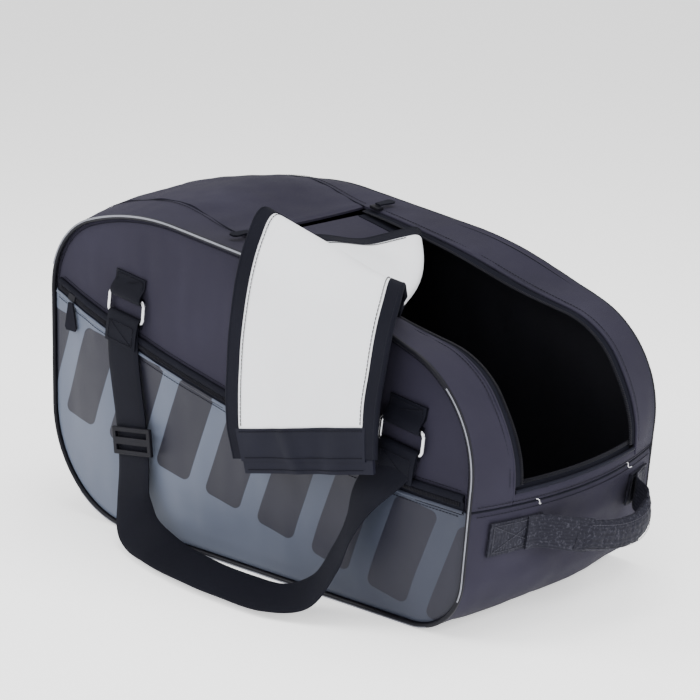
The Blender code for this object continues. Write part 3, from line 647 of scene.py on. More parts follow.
def gusset(name, s0, s1, y0, y1, ns, ny, node, ripple_amp=0.0012, seed=0.0, out=0.0, inner=SHELL_IN):
    s1 = s0 + (s1 - s0) % ROUND
    rows = []
    for i in range(ns + 1):
        s = s0 + (s1 - s0) * i / ns
        row = []
        n2 = normal(s)
        for j in range(ny + 1):
            y = y0 + (y1 - y0) * j / ny
            p = skin(s, y, out)
            e = sm(min(i, ns - i) * (s1 - s0) / ns / 0.012) * sm((HALF_DEPTH - abs(y)) / 0.02)
            w = ripple_amp * (noise.noise(Vector((s * 24 + seed, y * 16, seed))) + 0.5 * noise.noise(Vector((s * 65, y * 40 + seed, 2.0))))
            # the cloth tucks in along each sewn edge
            tuck = -0.0012 * (1 - sm(min(i, ns - i) * (s1 - s0) / ns / 0.006))
            d = w * e + tuck
            row.append((p.x + n2.x * d, y, p.z + n2.y * d))
        rows.append(row)
    ob = grid_solid(name, rows, [SHELL, inner], 0.0, WALL - 0.0004, flip=True)
    return bag(ob, node, slot="shell_cloth")


G2 = 0.0002
base_s1 = S_BASE_L + (S_BASE_R - S_BASE_L) % ROUND


def gusset_dir_ok():
    return True


gusset("base_cloth", S_BASE_L + G2, base_s1 - G2, -YE, YE, 80, 40, "base_panel", 0.0, 1.0)
gusset("right_end_cloth", S_BASE_R + G2, S_SEAM - G2, -YE, YE, 60, 80, "right_gusset", 0.0022, 2.0)
gusset("front_top_cloth", S_SEAM + G2, S_TOPL - G2, -YE, -MOUTH_HALF, 220, 12, "front_top_strip", 0.0014, 3.0, inner=BLACK_LINING)
gusset("back_top_cloth", S_SEAM + G2, S_TOPL - G2, MOUTH_HALF, YE, 220, 12, "back_top_strip", 0.0014, 4.0, inner=BLACK_LINING)
gusset("mouth_lip_cloth", S_SEAM + G2, S_LIP, -MOUTH_HALF + 0.0006, MOUTH_HALF - 0.0006, 8, 60, "mouth_end_lip", 0.0016, 5.0, inner=BLACK_LINING)
gusset("top_left_cloth", S_ROOT + 0.004, S_TOPL - G2, -MOUTH_HALF + 0.0006, MOUTH_HALF - 0.0006, 90, 50, "top_left_panel", 0.0022, 6.0)
gusset("left_end_cloth", S_TOPL + G2, S_BASE_L - G2, -YE, YE, 110, 80, "left_gusset", 0.0026, 7.0)

# seam cords where the gusset pieces meet, and stitching beside each seam
for name, s, y0, y1 in (("seam_right", S_SEAM, -YE, YE), ("seam_base_right", S_BASE_R, -YE, YE), ("seam_base_left", S_BASE_L, -YE, YE),
                        ("seam_top_left", S_TOPL, -YE, YE)):
    pts = [skin(s, y0 + (y1 - y0) * k / 50, -0.0012) for k in range(51)]
    bag(tube_mesh(name, pts, 0.0010, [TAPE], sides=8), slot="zip")
    for q, o in enumerate((-0.0042, 0.0042)):
        pts = [skin(s + o, y0 + 0.004 + (y1 - y0 - 0.008) * k / 60, 0.0002) for k in range(61)]
        n3 = normal(s)
        bag(dashes("%s_stitch_%d" % (name, q), pts, THREAD_D, lambda p, n3=n3: (n3.x, 0, n3.y)), slot="shell_cloth")
for name, y, side in (("seam_mouth_front", -MOUTH_HALF + 0.0003, -1), ("seam_mouth_back", MOUTH_HALF - 0.0003, 1)):
    a, b = S_ROOT + 0.004, S_TOPL
    pts = [skin(a + (b - a) * k / 60, y, -0.0006) for k in range(61)]
    bag(tube_mesh(name, pts, 0.0009, [TAPE], sides=8), slot="zip")
    pts = [skin(a + (b - a) * k / 60, y + side * 0.0045, 0.0003) for k in range(61)]
    bag(dashes(name + "_stitch", pts, THREAD_D, lambda p: (0, 0, 1)), slot="shell_cloth")

# ---------------------------------------------------------------- piping
# span of the front cord that carries the painted highlight over the crown
S_HIGHLIGHT0, S_HIGHLIGHT1 = near(0.04, 0.283), near(-0.258, 0.245)


for name, side, node in (("front_piping_cord", -1, "front_piping"), ("back_piping_cord", 1, "back_piping")):
    pts = []
    for k in range(420):
        s = ROUND * k / 420
        p = at(s) - normal(s) * (PIPING_R - 0.0002)
        wob = 0.0002 * noise.noise(Vector((s * 60, side, 0)))
        pts.append((p.x + wob, side * (HALF_DEPTH + GAP + PIPING_R - 0.0003), p.y + wob))
    bag(tube_mesh(name, pts, PIPING_R + 0.0002, [PIPE_DARK], cyclic=True, sides=12), node, slot="piping")
    pts = []
    for k in range(420):
        s = ROUND * k / 420
        p = at(s) - normal(s) * 0.0066
        y = face_front(p.x, p.y) if side < 0 else face_back(p.x, p.y)
        pts.append((p.x, y, p.y))
    bag(dashes(name + "_stitch", pts + pts[:1], THREAD_D, lambda p, side=side: (0, side, 0)), slot="shell_cloth")

# painted highlight: thin light tubes laid along the front cord where light catches it, brightest over the crown
for name, s0, s1, r in (("piping_highlight_crown", S_HIGHLIGHT0, S_HIGHLIGHT1, 0.00095), ("piping_highlight_right", near(0.258, 0.030), near(0.235, 0.215), 0.0006), ("piping_highlight_base", near(-0.235, 0.010), near(0.215, 0.001), 0.0006)):
    span = (s1 - s0) % ROUND
    pts = []
    for k in range(161):
        s = (s0 + span * k / 160) % ROUND
        p = at(s) - normal(s) * (PIPING_R * 0.35)
        pts.append((p.x, -(HALF_DEPTH + GAP + 2 * PIPING_R - 0.0004), p.y))
    bag(tube_mesh(name, pts, r, [PIPE_PAINTED_HIGHLIGHT], sides=8), slot="piping")

# base board, kept from the frame with a better finish
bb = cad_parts["base_board"]
bb.data.materials.clear()
bb.data.materials.append(BOARD)

# ---------------------------------------------------------------- pocket and its zip
zdir = Vector(ZIP_B) - Vector(ZIP_A)
zlen = zdir.length
zup = Vector((-zdir.y, zdir.x)).normalized()


def zip_line(f, off=0.0):
    sag = 4 * ZIP_SAG * f * (1 - f)
    d = (zdir / zlen - zup * (4 * ZIP_SAG * (1 - 2 * f) / zlen)).normalized()
    up = Vector((-d.y, d.x))
    return Vector(ZIP_A) + zdir * f - zup * sag + up * off


RIM = 2 * PIPING_R + 0.0006


def below(p):
    f = (p - Vector(ZIP_A)).dot(zdir) / zlen ** 2
    q = zip_line(max(0.0, min(1.0, f)), -0.0050)
    return (p - q).dot(zup) < 0


rim = [at(ROUND * k / 480) - normal(ROUND * k / 480) * RIM for k in range(480)]
low = [below(p) for p in rim]
start = next(i for i in range(len(rim)) if low[i] and not low[i - 1])
run, k = [], start
while low[k % len(rim)]:
    run.append(rim[k % len(rim)])
    k += 1
x0, x1 = run[0].x, run[-1].x
edge = [zip_line(k / 300, -0.0050) for k in range(301)]
edge = [p for p in edge if x0 + 0.002 < p.x < x1 - 0.002]
if run[-1].x < run[0].x:
    border = [(p.x, p.y) for p in run] + [(p.x, p.y) for p in edge[::2]] if edge[0].x < edge[-1].x else [(p.x, p.y) for p in run] + [(p.x, p.y) for p in edge[::-2]]
else:
    border = [(p.x, p.y) for p in run] + [(p.x, p.y) for p in edge[::-2]]


def zip_f(x):
    return max(0.0, min(1.0, (x - ZIP_A[0]) / (ZIP_B[0] - ZIP_A[0])))


def face_pocket(x, z):
    """Outer face of the pocket: a little more crown, loose along its top edge."""
    top = zip_line(zip_f(x), -0.005).y
    loose = math.exp(-((top - z) / 0.018) ** 2)
    rip = 0.0011 * noise.noise(Vector((x * 20 + 5.0, z * 9.0, 1.3))) + 0.0007 * noise.noise(Vector((x * 48, z * 22.0, 6.0)))
    e = sm(edge_dist(x, z) / 0.04)
    return face_front(x, z) * 0.0 - (HALF_DEPTH + GAP + 0.0016 + puff(x, z, 0.0040) + e * (rip + 0.0012 * loose * noise.noise(Vector((x * 42, 0.0, 3.0)))))


bag(star_plate("pocket_satin_cloth", border, (0.0, 0.075), face_pocket, 0.0014, [POCKET, SHELL_IN], rings=60, side=-1), "pocket_panel", slot="pocket_cloth")
F0, F1 = 0.007, 0.998


def zip_rows(o0, o1, y_fn, nj, f0=F0, f1=F1, n=240):
    rows = []
    for i in range(n + 1):
        f = f0 + (f1 - f0) * i / n
        row = []
        for j in range(nj + 1):
            o = o0 + (o1 - o0) * j / nj
            p = zip_line(f, o)
            row.append((p.x, y_fn(p.x, p.y, o, j / nj), p.y))
        rows.append(row)
    return rows


def on_front(x, z):
    return -(HALF_DEPTH + GAP + 0.0010 + puff(x, z, 0.0038) + 0.0006 * noise.noise(Vector((x * 40, z * 10, 2.0))) * sm(edge_dist(x, z) / 0.04))


bag(grid_solid("pocket_zip_tape_cloth", zip_rows(-0.0085, 0.0090, lambda x, z, o, j: on_front(x, z), 8), [TAPE], 0.0006, 0.0004), "pocket_zip_tape", slot="zip")
# folded welt above the teeth and the pocket's turned, stitched top edge below them
bag(grid_solid("pocket_zip_welt", zip_rows(0.0026, 0.0085, lambda x, z, o, j: on_front(x, z) - 0.0010 - 0.0012 * math.sin(math.pi * j) ** 0.7, 8), [TAPE], 0.0003, 0.0004), slot="zip")
bag(grid_solid("pocket_top_hem", zip_rows(-0.0072, -0.0046, lambda x, z, o, j: on_front(x, z) - 0.0012 - 0.0011 * math.sin(math.pi * j) ** 0.7 - 0.0004 * noise.noise(Vector((x * 60, 0, 1.0))), 8), [POCKET], 0.0003, 0.0004), slot="pocket_cloth")
ch = [zip_line(F0 + 0.004 + (F1 - F0 - 0.008) * k / 240, 0.0) for k in range(241)]
bag(teeth("pocket_zip_teeth", [(p.x, on_front(p.x, p.y) - 0.0004, p.y) for p in ch], lambda p: (0, -1, 0), TEETH), "pocket_zip_chain", slot="zip")
st = [zip_line(F0 + 0.004 + (F1 - F0 - 0.008) * k / 240, -0.0104) for k in range(241)]
bag(dashes("pocket_hem_stitch", [(p.x, face_pocket(p.x, p.y), p.y) for p in st], THREAD_D, lambda p: (0, -1, 0)), slot="zip")
st = [zip_line(F0 + 0.004 + (F1 - F0 - 0.008) * k / 240, 0.0112) for k in range(241)]
bag(dashes("pocket_welt_stitch", [(p.x, face_front(p.x, p.y), p.y) for p in st], THREAD_D, lambda p: (0, -1, 0)), slot="zip")

# ---------------------------------------------------------------- mouth zip halves
ZS0, ZS1 = S_LIP + 0.004, S_ROOT - 0.002
for name, side, node in (("front", -1, "mouth_zip_front"), ("back", 1, "mouth_zip_back")):
    rows, tpath = [], []
    for k in range(201):
        s = ZS0 + (ZS1 - ZS0) * k / 200
        row = []
        for j in range(7):
            y = side * (MOUTH_HALF + 0.0012 - 0.0100 * j / 6)
            row.append(tuple(skin(s, y, -0.0018 - 0.0006 * (j / 6) + 0.0004 * noise.noise(Vector((s * 50, side, 0))))))
        rows.append(row)
        tpath.append(skin(s, side * (MOUTH_HALF - 0.0090), -0.0020))
    bag(grid_solid("mouth_tape_" + name, rows, [TAPE], 0.0005, 0.0005), node, slot="zip")
    bag(teeth("mouth_teeth_" + name, tpath, lambda p: (0.25, 0, 1), TEETH, w=0.0034), slot="zip")
    # rolled binding on the strip's cut edge, with its stitching
    path = [skin(ZS0 - 0.010 + (ZS1 - ZS0 + 0.010) * k / 200, side * (MOUTH_HALF + 0.0002), -0.0006) for k in range(201)]
    bag(tube_mesh("mouth_edge_" + name, path, 0.0013, [SHELL], sides=10), slot="shell_cloth")
    path = [skin(ZS0 + (ZS1 - ZS0) * k / 200, side * (MOUTH_HALF + 0.0050), 0.0001) for k in range(201)]
    bag(dashes("mouth_stitch_" + name, path, THREAD_D, lambda p: (0.25, 0, 1)), slot="shell_cloth")
# the zip's turn round the right end of the mouth, sewn inside the lip
rows, tpath = [], []
for k in range(61):
    y = -(MOUTH_HALF - 0.006) + 2 * (MOUTH_HALF - 0.006) * k / 60
    rows.append([tuple(skin(S_LIP - 0.002 + 0.009 * j / 5, y, -0.0042 - 0.0004 * j)) for j in range(6)])
    tpath.append(skin(S_LIP + 0.0062, y, -0.0048))
bag(grid_solid("mouth_tape_end", rows, [TAPE], 0.0005, 0.0005), slot="zip")
bag(teeth("mouth_teeth_end", tpath, lambda p: (0.9, 0, 0.3), TEETH, w=0.0034), slot="zip")
lipp = [skin(S_LIP, -(MOUTH_HALF - 0.002) + 2 * (MOUTH_HALF - 0.002) * k / 80, -0.0010 - 0.0012 * math.sin(math.pi * k / 80)) for k in range(81)]
bag(tube_mesh("mouth_lip_binding", lipp, 0.0017, [BAND], sides=10), slot="zip")

# ---------------------------------------------------------------- lid: one strip of cloth
pl, pr = skin(S_ROOT, MOUTH_HALF), skin(near(0.200, 0.236), MOUTH_HALF)
SLOPE = math.atan2(pl.z - pr.z, pr.x - pl.x)
XD = Vector((math.cos(SLOPE), 0, -math.sin(SLOPE)))
ND = Vector((math.sin(SLOPE), 0, math.cos(SLOPE)))
ROOT = Vector((pl.x, 0, pl.z))
H = LID_HALF
N_LOW, ROLL = -0.0060, 0.0085
A_HANG = 0.2355


def lid(xp, y, n):
    return ROOT + XD * xp + Vector((0, y, 0)) + ND * n


PULL = 0.040
LEFT = [lid(FOLD_C - H, -0.0795, 0.026), Vector((0.0180, -0.0960, 0.3180)), Vector((0.0120, -0.1120, 0.3270)), Vector((0.0180, -0.1350, 0.3070)),
        Vector((0.0190, -0.1490, 0.2756)), Vector((0.0132, -0.1520, 0.2328)), Vector((0.0101, -0.1530, 0.1985)), Vector((0.0085, -0.1530, 0.1463)),
        Vector((0.0120, -0.1520, 0.1220)), Vector((0.0180, -0.1515, 0.1006))]
RIGHT = [lid(FOLD_C + H - PULL, -0.0795, 0.012), Vector((0.1660, -0.1020, 0.2780)), Vector((0.1830, -0.1240, 0.2890)), Vector((0.1920, -0.1400, 0.2775)),
         Vector((0.1945, -0.1500, 0.2600)), Vector((0.1905, -0.1530, 0.2320)), Vector((0.1860, -0.1540, 0.2050)), Vector((0.1825, -0.1540, 0.1755)),
         Vector((0.1810, -0.1530, 0.1560)), Vector((0.1800, -0.1520, 0.1352))]
LT, RT = lengths(LEFT), lengths(RIGHT)
LID_DROP = (LT[-1] + RT[-1]) / 2


def hanging(u, f):
    """u from the left edge (0) to the right (1), f from the mouth (0) to the lid's free end (1)."""
    fr = f * 0.9527 if f < 0.866 else 0.825 + (f - 0.866) * (0.175 / 0.134)
    a, b = spline_at(LEFT, LT, LT[-1] * f), spline_at(RIGHT, RT, RT[-1] * fr)
    p = a.lerp(b, u)
    mid = 4 * u * (1 - u)
    low = sm((f - 0.45) / 0.5)
    # the roll sags a little between its edges; the hanging cloth carries soft diagonal creases
    p = p + Vector((0, 0.0, 0.0015)) * mid * (1 - sm((f - 0.30) / 0.2)) * sm(f / 0.15)
    wav = 0.0022 * noise.noise(Vector((u * 2.2 + 1.0, f * 3.0, 4.0))) + 0.0016 * low * noise.noise(Vector((u * 5.0 + f * 4.0, f * 7.0, 9.0)))
    crease = 0.0016 * math.exp(-((u - 0.30 - 0.55 * (f - 0.7)) / 0.05) ** 2) * low - 0.0013 * math.exp(-((u - 0.72 + 0.35 * (f - 0.7)) / 0.06) ** 2) * low
    return p + Vector((0, -1, 0)) * ((wav + crease) * sm(f / 0.2))


def strip(a, b):
    """Point of the lid: a metres along it from the root, b metres across (towards the back is +)."""
    t = ((a - FOLD_C) + b) / math.sqrt(2)
    w = ((a - FOLD_C) - b) / math.sqrt(2)
    arc = math.pi * ROLL / 2
    q0 = -arc
    rise = 0.0
    if t < -arc:
        q, n = t, N_LOW
    elif t > arc:
        q, n = -t, N_LOW + 2 * ROLL
    else:
        th = (t + arc) / ROLL
        q, n = q0 + ROLL * math.sin(th), N_LOW + ROLL * (1 - math.cos(th))
    xp = FOLD_C + (w + q) / math.sqrt(2)
    y = (q - w) / math.sqrt(2)
    up = sm((t - arc) / 0.03)
    u = max(0.0, min(1.0, (H - b) / (2 * H)))
    n += up * (0.026 - N_LOW - 2 * ROLL) * (1 - u) * sm((0.0 - y) / 0.08)
    n += 0.0016 * noise.noise(Vector((xp * 18, y * 18, 3.0))) * sm((a - 0.01) / 0.04)
    # the fold is drawn in at its right corner
    xp -= PULL * sm((a - 0.090) / 0.135) * u ** 1.4
    p = lid(xp, y, n)
    if a > A_HANG:
        f = (a - A_HANG) / (LID_DROP)
        g = sm((a - A_HANG) / 0.026)
        p = p.lerp(hanging(u, min(f, 1.0)), g)
    return p


TAPE_W = 0.0115


def lid_rows(a0, a1, b0, b1, na, nb):
    return [[tuple(strip(a0 + (a1 - a0) * i / na, b0 + (b1 - b0) * j / nb)) for j in range(nb + 1)] for i in range(na + 1)]


A_END = A_HANG + LID_DROP


def lid_bend(ob, *nodes, slot=None):
    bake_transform(ob)
    if nodes:
        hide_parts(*nodes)
    return ob


A_BAND = A_HANG + LID_DROP * 0.866
A_BAND2 = A_HANG + LID_DROP * 0.955
lid_main = grid_solid("lid_cloth", lid_rows(0.004, A_BAND + 0.004, -H + TAPE_W, H - TAPE_W, 200, 60), [SHELL, LINING, LINING], 0.0013, 0.0013)
lid_bend(lid_main, "lid_root_panel", "lid_fold_panel", "lid_flap_lining", "lid_flap_shell", slot="lid_lining")
for tag, s in (("left", 1), ("right", -1)):
    b0, b1 = (H - TAPE_W - 0.0012, H) if s > 0 else (-H, -H + TAPE_W + 0.0012)
    tp = grid_solid("lid_tape_cloth_" + tag, lid_rows(0.006, A_BAND2, b0, b1, 260, 8), [TAPE], 0.0021, 0.0021)
    lid_bend(tp, "lid_tape_" + tag, "lid_fold_tape_" + tag, slot="zip")
    edge_b = s * (H - 0.0004)
    path = [strip(0.006 + (A_BAND2 - 0.006) * k / 260, edge_b) for k in range(261)]
    bead = tube_mesh("lid_edge_bead_" + tag, path, 0.0024, [TAPE], sides=10)
    lid_bend(bead, slot="zip")

    def lining_normal(p):
        return (0.0, -1.0, 0.25) if p.z < 0.27 and p.y < -0.13 else (0.1, -0.4, 1.0)

    P = np.array([[tuple(strip(a, s * (H - TAPE_W - 0.0040) + e)) for e in (-0.001, 0.0, 0.001)] for a in np.linspace(0.12, A_BAND - 0.002, 200)])
    du = np.gradient(P, axis=0)[:, 1]
    dv = P[:, 2] - P[:, 0]
    N = np.cross(du, dv)
    N /= np.linalg.norm(N, axis=1, keepdims=True)
    line = P[:, 1] - N * 0.0014
    lookup = {}

    def line_normal(p, line=line, N=N):
        k = int(np.argmin(((line - np.array(p)) ** 2).sum(1)))
        return tuple(-N[k])

    lid_bend(dashes("lid_stitch_" + tag, [tuple(q) for q in line], THREAD_D, line_normal, pitch=0.0036, length=0.0028, r=0.00042), slot="zip")

# end band: a wide dark hem and a second, narrower strip of the same cloth below it
band = grid_solid("lid_end_hem", lid_rows(A_BAND - 0.001, A_BAND2 + 0.002, -H + TAPE_W - 0.002, H - TAPE_W + 0.002, 16, 60), [BAND], 0.0024, 0.0024)
lid_bend(band, "lid_end_band", slot="shell_cloth")
hem = grid_solid("lid_end_flap", lid_rows(A_BAND2 + 0.0005, A_END, -H + 0.0020, H - TAPE_W + 0.001, 14, 60), [BAND], 0.0014, 0.0014)
lid_bend(hem, slot="shell_cloth")
for q, (a, lift) in enumerate(((A_BAND + 0.0016, 0.0026), (A_BAND2 - 0.0008, 0.0026), (A_END - 0.0030, 0.0016))):
    P = [strip(a, -H + TAPE_W + (2 * H - 2 * TAPE_W) * k / 90) for k in range(91)]
    P = [p + Vector((0, -lift, 0)) for p in P]
    lid_bend(dashes("lid_band_stitch_%d" % q, P, THREAD_D, lambda p: (0, -1, 0.05)), slot="zip")

# ---------------------------------------------------------------- carry strap
axd = Vector((AXIS_R[0] - AXIS_L[0], 0, AXIS_R[1] - AXIS_L[1])).normalized()
axn = Vector((-axd.z, 0, axd.x))
cl, cr = Vector((AXIS_L[0], AXIS_Y, AXIS_L[1])), Vector((AXIS_R[0], AXIS_Y, AXIS_R[1]))
lead = RING_R + 0.0012
tl, tr = cl - axn * (RING_H + lead), cr - axn * (RING_H + lead)
tl2, tr2 = tl - axn * 0.010, tr - axn * 0.008
STRAP = [((tl.x, tl.y - 0.0012, tl.z), axd), ((tl2.x, tl2.y - 0.0020, tl2.z), axd), ((-0.1475, -0.1335, 0.160), (1, 0, -0.12)), ((-0.1400, -0.1345, 0.115), (1, 0, -0.08)),
         ((-0.1345, -0.1365, 0.072), (1, 0, 0.0)), ((-0.1300, -0.1420, 0.038), (0.95, 0.15, 0.22)), ((-0.1120, -0.1530, 0.0185), (0.40, 0.70, 0.56)),
         ((-0.068, -0.1660, 0.0120), (0.05, 0.92, 0.34)), ((-0.010, -0.1760, 0.0100), (0, 0.97, 0.24)),
         ((0.045, -0.1795, 0.0100), (0, 0.97, 0.24)), ((0.090, -0.1785, 0.0120), (-0.08, 0.93, 0.32)),
         ((0.122, -0.1680, 0.0235), (-0.45, 0.80, 0.50)), ((0.138, -0.1560, 0.053), (-0.80, 0.80, 0.35)),
         ((0.150, -0.1505, 0.084), (-0.85, 0.80, 0.25)), ((0.160, -0.1420, 0.112), (-0.97, 0.30, 0.10)),
         ((tr2.x, tr2.y - 0.0020, tr2.z), -axd), ((tr.x, tr.y - 0.0012, tr.z), -axd)]
SN = 300
centre = spline([k[0] for k in STRAP], SN)
across = spline([k[1] for k in STRAP], SN, lengths([k[0] for k in STRAP]))
strap = ribbon("strap_webbing", centre, across, WEB, WEB_T, [WEBBING], bow=0.0006, wave=0.0005, seed=2.0)
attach(strap, "carry_strap")
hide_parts("carry_strap")

for tag, c, sgn in (("left", cl, 1), ("right", cr, -1)):
    # rectangular ring, wire drawn smooth
    pts = []
    w, h, r = RING_W / 2, RING_H, 0.0045
    for cx, cz, a0 in ((w - r, -r, 0), (-w + r, -r, 90), (-w + r, -h + r, 180), (w - r, -h + r, 270)):
        for k in range(9):
            a = math.radians(a0 + 90 * k / 8)
            pts.append(c + axd * (cx + r * math.cos(a)) + axn * (cz + r * math.sin(a)))
    rg = tube_mesh("ring_wire_" + tag, pts, RING_R, [METAL], cyclic=True, sides=16)
    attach(rg, "carry_strap"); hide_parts("carry_ring_" + tag)
    # strap end: doubled round the ring's lower bar and sewn to itself
    bar = c - axn * RING_H
    R = RING_R + 0.0013
    path = []
    for k in range(13):
        an = math.pi * k / 12
        path.append(bar + Vector((0, 1, 0)) * (R * math.cos(an)) + axn * (R * math.sin(an)))
    down = 0.026
    front = [bar + Vector((0, -R, 0)) - axn * (down * k / 10) + Vector((0, -0.0012 * sm(k / 5) - 0.0003, 0)) for k in range(1, 11)]
    back = [bar + Vector((0, R, 0)) - axn * (0.006 * k / 4) + Vector((0, -0.0016 * k / 4, 0)) for k in range(4, 0, -1)]
    path = back + path + front
    lp = ribbon("strap_end_" + tag, path, [axd] * len(path), WEB + 0.0006, 0.0018, [WEBBING], cross=12)
    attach(lp, "carry_strap")
    fb = front[-1]
    box = []
    top = front[1]
    wx = WEB / 2 - 0.004
    corners_ = [top - axd * wx, top + axd * wx, fb + axd * wx + axn * 0.003, fb - axd * wx + axn * 0.003]
    corners_ = [q + Vector((0, -0.0011, 0)) for q in corners_]
    runp = corners_ + [corners_[0], corners_[2]]
    d1 = dashes("strap_end_stitch_" + tag, [q for a_, b_ in zip(runp, runp[1:]) for q in (a_, b_)][:10], THREAD_D, lambda p: (0, -1, 0), pitch=0.0030, length=0.0022)
    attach(d1, "carry_strap")
    # tab: webbing loop on the bag holding the ring's top bar
    R = RING_R + 0.0014
    yb = -HALF_DEPTH - GAP
    path = [c + axn * (0.0200 - 0.017 * k / 8) + Vector((0, (yb - 0.0010) - c.y, 0)) for k in range(9)]
    for k in range(11):
        an = math.pi * k / 10
        path.append(c + Vector((0, 1, 0)) * (R * math.cos(an)) - axn * (R * math.sin(an)))
    path += [c + axn * (0.0205 * k / 8) + Vector((0, -R - (-R - ((yb - 0.0034) - c.y)) * sm((k - 1) / 4), 0)) for k in range(1, 9)]
    tb = ribbon("ring_tab_" + tag, path, [axd] * len(path), RING_W - 0.0065, 0.0019, [WEBBING], cross=12)
    bag(tb, "carry_ring_tab_" + tag, slot="webbing")
    fr = c.copy(); fr.y = yb - 0.0047
    q = [fr + axd * (-0.0170) + axn * 0.0070, fr + axd * 0.0170 + axn * 0.0070, fr + axd * 0.0170 + axn * 0.0180, fr - axd * 0.0170 + axn * 0.0180]
    bag(dashes("ring_tab_stitch_" + tag, q + [q[0], q[2]], THREAD_D, lambda p: (0, -1, 0), pitch=0.0028, length=0.0021), slot="webbing")

# adjuster, rings' neighbour, kept from the frame with a moulded finish
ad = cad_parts["strap_adjuster"]
ad.data.materials.clear()
ad.data.materials.append(PLASTIC)

# ---------------------------------------------------------------- haul handle
HA_Y0, HA_Y1, HB_Y0, HB_Y1 = -0.106, -0.052, 0.078, 0.112
HAUL_Z, HAUL_W, HAUL_T = 0.086, 0.030, 0.0030
S_H = near(0.2595, HAUL_Z)


def anchor(name, node, y0, y1, seed):
    rows = []
    for i in range(25):
        s = S_H - HAUL_W / 2 + HAUL_W * i / 24
        rows.append([tuple(skin(s, y0 + (y1 - y0) * j / 40, GAP + 0.0016 + 0.0007 * noise.noise(Vector((i * 0.25, j * 0.16, seed))))) for j in range(41)])
    uv = [(HAUL_W * i / 24, (y1 - y0) * j / 40) for i in range(25) for j in range(41)]
    bag(grid_solid(name, rows, [FLECKED], 0.0009, 0.0012, uv=uv), node, slot="webbing")
    n3 = normal(S_H)
    def at_(i, j):
        return skin(S_H + (i - 0.5) * (HAUL_W - 0.006), y0 + 0.003 + (y1 - y0 - 0.006) * j, GAP + 0.0029)
    run_ = []
    for (i0, j0), (i1, j1) in (((0, 0), (1, 0)), ((1, 0), (1, 1)), ((1, 1), (0, 1)), ((0, 1), (0, 0)), ((0, 0), (1, 1)), ((1, 1), (1, 0)), ((1, 0), (0, 1))):
        run_ += [at_(i0 + (i1 - i0) * k / 12, j0 + (j1 - j0) * k / 12) for k in range(12)]
    bag(dashes(name + "_stitch", run_, THREAD_G, lambda p: (n3.x, 0, n3.y), pitch=0.0024, length=0.0018, r=0.00030), slot="webbing")


anchor("haul_patch_front", "haul_anchor_front", HA_Y0, HA_Y1, 1.0)
anchor("haul_patch_back", "haul_anchor_back", HB_Y0, HB_Y1, 2.0)
pa, pb = skin(S_H, HA_Y1, 0.0120), skin(S_H, HB_Y0, 0.0120)
HX = [Vector((pa.x, HA_Y1 + 0.0015, pa.z)), Vector((0.2920, -0.034, 0.0800)), Vector((0.3000, -0.008, 0.0740)),
      Vector((0.3050, 0.020, 0.0705)), Vector((0.3045, 0.046, 0.0730)), Vector((0.2960, 0.066, 0.0810)), Vector((pb.x, HB_Y0 - 0.0015, pb.z))]
hp = spline(HX, 31)
wp0 = skin(S_H, HA_Y1 - 0.016, 0.0040)
wp1 = skin(S_H, HA_Y1 - 0.006, 0.0056)
wf = spline([wp0, wp1, hp[0], hp[3], hp[6], hp[8]], 40)
wb1, wb0 = skin(S_H, HB_Y0 + 0.008, 0.0056), skin(S_H, HB_Y0 + 0.018, 0.0040)
wbk = spline([hp[24], hp[26], hp[28], hp[30], wb1, wb0], 40)
bag(ribbon("haul_webbing_front", wf, [(0.12, 0, 1)] * 40, HAUL_W, 0.0024, [FLECKED], bow=0.0006, wave=0.0006, seed=5.0), "haul_web_front", slot="webbing")
bag(ribbon("haul_webbing_back", wbk, [(0.12, 0, 1)] * 40, HAUL_W, 0.0024, [FLECKED], bow=0.0006, wave=0.0006, seed=6.0), "haul_web_back", slot="webbing")
# grip: webbing folded in half along its length and wrapped, thick in the middle, creased where it bends
gp = spline([hp[5], hp[8], hp[12], hp[16], hp[20], hp[24], hp[26]], 90)
verts, faces, uvs = [], [], []
SEC = 40
run_l = lengths(gp)
for i, p in enumerate(gp):
    f = i / 89
    t = (gp[min(i + 1, 89)] - gp[max(i - 1, 0)]).normalized()
    a = Vector((0.12, 0, 1)); a = (a - t * a.dot(t)).normalized()
    b = t.cross(a)
    full = sm(min(f, 1 - f) / 0.16)
    for k in range(SEC):
        an = 2 * math.pi * k / SEC
        ca, sa = math.cos(an), math.sin(an)
        cr_ = 0.0007 * noise.noise(Vector((f * 26, ca * 2.0, sa * 2.0))) + 0.0006 * noise.noise(Vector((f * 60 + ca * 3, ca * 4.0, 7.0)))
        flat_ = (abs(ca) ** 0.75) * (1 if ca >= 0 else -1)
        pv = p + a * (flat_ * (0.0148 - 0.0012 * full + cr_)) + b * (sa * (0.0022 + 0.0032 * full + cr_))
        verts.append(pv); uvs.append((run_l[i], 0.0100 * an))
for i in range(89):
    for k in range(SEC):
        faces.append((i * SEC + k, (i + 1) * SEC + k, (i + 1) * SEC + (k + 1) % SEC, i * SEC + (k + 1) % SEC))
faces.append(tuple(range(SEC)))
faces.append(tuple(89 * SEC + k for k in range(SEC))[::-1])
grip = outward(make("haul_grip_wrap", verts, faces, [FLECKED], uvs))
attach(grip, "haul_grip"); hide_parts("haul_grip")
for q, dz in enumerate((-0.0108, 0.0108)):
    pts = []
    for i in range(8, 82):
        p = gp[i]
        t = (gp[i + 1] - gp[i - 1]).normalized()
        a = Vector((0.12, 0, 1)); a = (a - t * a.dot(t)).normalized()
        b = t.cross(a)
        if b.x < 0:
            b = -b
        f = i / 89
        full = sm(min(f, 1 - f) / 0.16)
        pts.append(p + a * dz + b * ((0.0022 + 0.0032 * full) * 0.80 + 0.0002))
    d2 = dashes("haul_grip_stitch_%d" % q, pts, THREAD_G, lambda p: (1, 0, 0), pitch=0.0030, length=0.0022)
    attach(d2, "haul_grip")
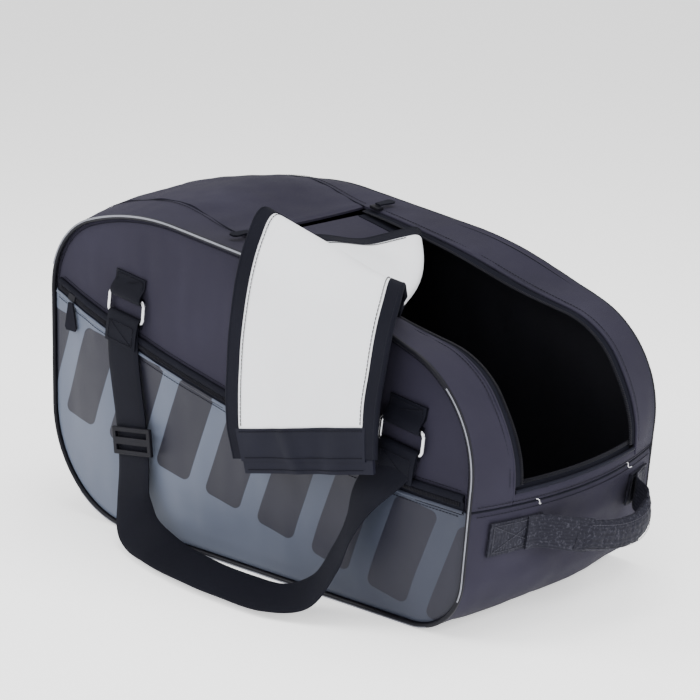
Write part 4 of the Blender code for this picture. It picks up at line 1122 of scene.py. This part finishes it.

# ---------------------------------------------------------------- sliders and pullers, kept from the frame: sliders with a moulded finish, pullers in zip tape cloth
for n in ("mouth_slider_front", "mouth_slider_back", "pocket_slider"):
    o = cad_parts[n]
    o.data.materials.clear()
    o.data.materials.append(PLASTIC)
for n in ("mouth_puller_front", "mouth_puller_back", "pocket_puller"):
    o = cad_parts[n]
    o.data.materials.clear()
    o.data.materials.append(TAPE)

# loose thread ends by the front anchor and the mouth's far corner
for q, (s, y) in enumerate(((S_SEAM + 0.001, -0.060), (S_SEAM + 0.002, 0.066))):
    base = skin(s, y, 0.0008)
    pts = [base + Vector((0.0010 * k, 0.0016 * math.sin(k * 0.9 + q), 0.0014 * math.cos(k * 0.7))) for k in range(7)]
    bag(tube_mesh("thread_end_%d" % q, spline(pts, 24), 0.00035, [THREAD_W], sides=6), slot="zip")

# ---------------------------------------------------------------- floor, light, camera
bpy.ops.mesh.primitive_plane_add(size=12.0, location=(0, 0, -0.0005))
floor = bpy.context.object
floor.name = "floor"
fm, nt, b = nodes_of("floor_paper")
b.inputs["Base Color"].default_value = (0.97, 0.97, 0.97, 1)
b.inputs["Emission Color"].default_value = (1.0, 1.0, 1.0, 1)
b.inputs["Emission Strength"].default_value = 0.75
b.inputs["Roughness"].default_value = 0.85
floor.data.materials.append(fm)

world = bpy.data.worlds.new("studio")
world.use_nodes = True
world.node_tree.nodes["Background"].inputs["Color"].default_value = (1.0, 1.0, 1.0, 1)
world.node_tree.nodes["Background"].inputs["Strength"].default_value = 0.90
bpy.context.scene.world = world


def area(name, loc, target, size, power, colour=(1, 1, 1)):
    li = bpy.data.lights.new(name, "AREA")
    li.shape = "RECTANGLE"
    li.size, li.size_y = size
    li.energy = power
    li.color = colour
    ob = bpy.data.objects.new(name, li)
    bpy.context.scene.collection.objects.link(ob)
    ob.location = loc
    ob.rotation_euler = (Vector(target) - Vector(loc)).to_track_quat("-Z", "Y").to_euler()
    return ob


area("key", (-1.15, -1.05, 1.15), (-0.05, 0, 0.15), (0.9, 0.9), 24.0)
area("top", (0.2, 0.1, 2.2), (0, 0, 0.2), (1.6, 1.2), 34.0)
area("rim", (1.8, 0.2, 1.0), (0.1, 0, 0.15), (0.8, 1.2), 26.0)
area("fill", (0.9, -1.7, 0.9), (0.15, 0, 0.15), (1.0, 0.8), 11.0)

AZ, EL, DIST = math.radians(42.743), math.radians(14.848), 2.0030
TARGET = Vector((0.0106, 0.0, 0.1803))
cam = bpy.data.cameras.new("camera")
cam.lens, cam.sensor_width = 113.14, 36.0
co = bpy.data.objects.new("camera", cam)
bpy.context.scene.collection.objects.link(co)
co.location = TARGET + DIST * Vector((math.sin(AZ) * math.cos(EL), -math.cos(AZ) * math.cos(EL), math.sin(EL)))
co.rotation_euler = (TARGET - co.location).to_track_quat("-Z", "Y").to_euler()
bpy.context.scene.camera = co

bpy.context.view_layer.update()
